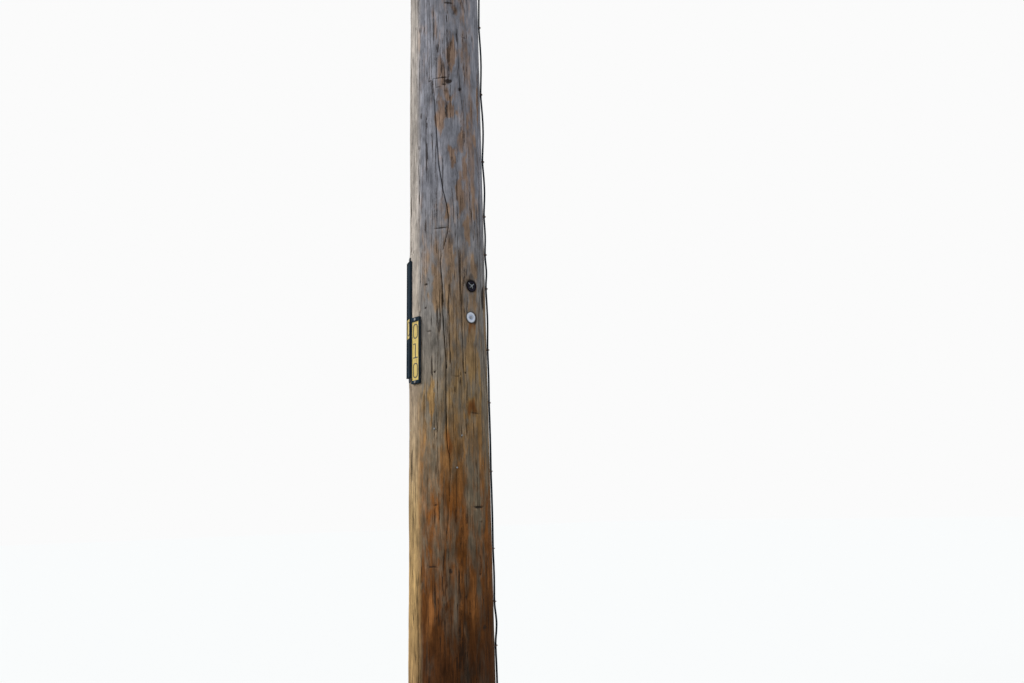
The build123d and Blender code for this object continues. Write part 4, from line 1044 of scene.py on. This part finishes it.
def build_world(settings):
    """Even fill light, and a white backdrop for what the camera sees."""
    world = bpy.data.worlds.new("studio_world")
    bpy.context.scene.world = world
    world.use_nodes = True
    tree = world.node_tree
    tree.nodes.clear()
    even = {"Color": (*settings.fill_colour, 1.0), "Strength": settings.fill_strength}
    fill = add_node(tree, "ShaderNodeBackground", even)
    white = add_node(tree, "ShaderNodeBackground", {"Color": paint("#fbfbfb"), "Strength": 1.0})
    part_rays(tree, "ShaderNodeOutputWorld", fill, white)


def build_lamp(name, strength, azimuth, elevation, softness, colour):
    """A distant lamp of an apparent width, at an azimuth and elevation in degrees."""
    lamp = bpy.data.lights.new(name, "SUN")
    lamp.energy = strength
    lamp.angle = math.radians(softness)
    lamp.color = colour
    lamp_object = bpy.data.objects.new(name, lamp)
    out = towards(azimuth, elevation)
    lamp_object.rotation_mode = "QUATERNION"
    lamp_object.rotation_quaternion = out.to_track_quat("Z", "Y")
    lamp_object.location = out * LAMP_DISTANCE
    bpy.context.scene.collection.objects.link(lamp_object)


def build_camera(settings):
    """Camera at the photograph's place, tilt and roll."""
    place = towards(settings.camera_azimuth) * settings.camera_distance
    to_pole = -place.normalized()
    beside = Vector((to_pole.y, -to_pole.x, 0.0))
    turns = (settings.camera_yaw, settings.camera_tilt, settings.camera_roll)
    yaw, tilt, roll = (math.radians(turn) for turn in turns)
    level = to_pole * math.cos(yaw) + beside * math.sin(yaw)
    forward = level * math.cos(tilt) + Vector((0, 0, math.sin(tilt)))
    right = Vector((level.y, -level.x, 0.0))
    up = right.cross(forward)
    rolled_right = right * math.cos(roll) + up * math.sin(roll)
    rolled_up = up * math.cos(roll) - right * math.sin(roll)
    lens = bpy.data.cameras.new("photo_camera")
    lens.lens = settings.camera_lens
    lens.sensor_width = 36.0
    camera = bpy.data.objects.new("photo_camera", lens)
    bpy.context.scene.collection.objects.link(camera)
    turned = Matrix((rolled_right, rolled_up, -forward)).transposed()
    place.z = settings.camera_height
    camera.matrix_world = Matrix.Translation(place) @ turned.to_4x4()
    bpy.context.scene.camera = camera


class POLE_OT_stage(Operator):
    """Sets the floor, the light and the camera"""

    bl_idname = "pole.stage"
    bl_label = "Studio"

    def execute(self, context):
        settings = context.scene.pole_studio
        build_floor()
        build_world(settings)
        rise = settings.key_elevation
        key = (settings.key_strength, settings.key_azimuth, rise, settings.key_softness)
        side = (settings.side_strength, settings.side_azimuth, rise, settings.side_softness)
        build_lamp("soft_key", *key, WARM_WHITE)
        build_lamp("broad_side", *side, COOL_WHITE)
        build_camera(settings)
        context.scene.view_settings.view_transform = "Standard"
        return {"FINISHED"}


class POLE_PT_sidebar(Panel):
    """Lists the pole's steps and settings"""

    bl_idname = "POLE_PT_sidebar"
    bl_label = "Timber pole"
    bl_space_type = "VIEW_3D"
    bl_region_type = "UI"
    bl_category = "Pole"

    def draw(self, context):
        for settings in (context.scene.pole_timber, context.scene.pole_studio):
            box = self.layout.box()
            for name in settings.bl_rna.properties.keys():
                if name not in ("rna_type", "name"):
                    box.prop(settings, name)
        for step in STEPS:
            self.layout.operator(step.bl_idname)


STEPS = (
    POLE_OT_timber,
    POLE_OT_ground_wire,
    POLE_OT_number_tags,
    POLE_OT_inspection_discs,
    POLE_OT_line_fittings,
    POLE_OT_stage,
)
CLASSES = (TimberSettings, StudioSettings, *STEPS, POLE_PT_sidebar)


def register():
    """Registers the classes and their settings."""
    for made in CLASSES:
        bpy.utils.register_class(made)
    bpy.types.Scene.pole_timber = PointerProperty(type=TimberSettings)
    bpy.types.Scene.pole_studio = PointerProperty(type=StudioSettings)


def unregister():
    """Takes the classes and their settings away."""
    del bpy.types.Scene.pole_timber
    del bpy.types.Scene.pole_studio
    for made in reversed(CLASSES):
        bpy.utils.unregister_class(made)


def main():
    """Runs every step in order."""
    register()
    bpy.ops.pole.timber()
    bpy.ops.pole.ground_wire()
    bpy.ops.pole.number_tags()
    bpy.ops.pole.inspection_discs()
    bpy.ops.pole.line_fittings()
    bpy.ops.pole.stage()


if __name__ == "__main__":
    main()
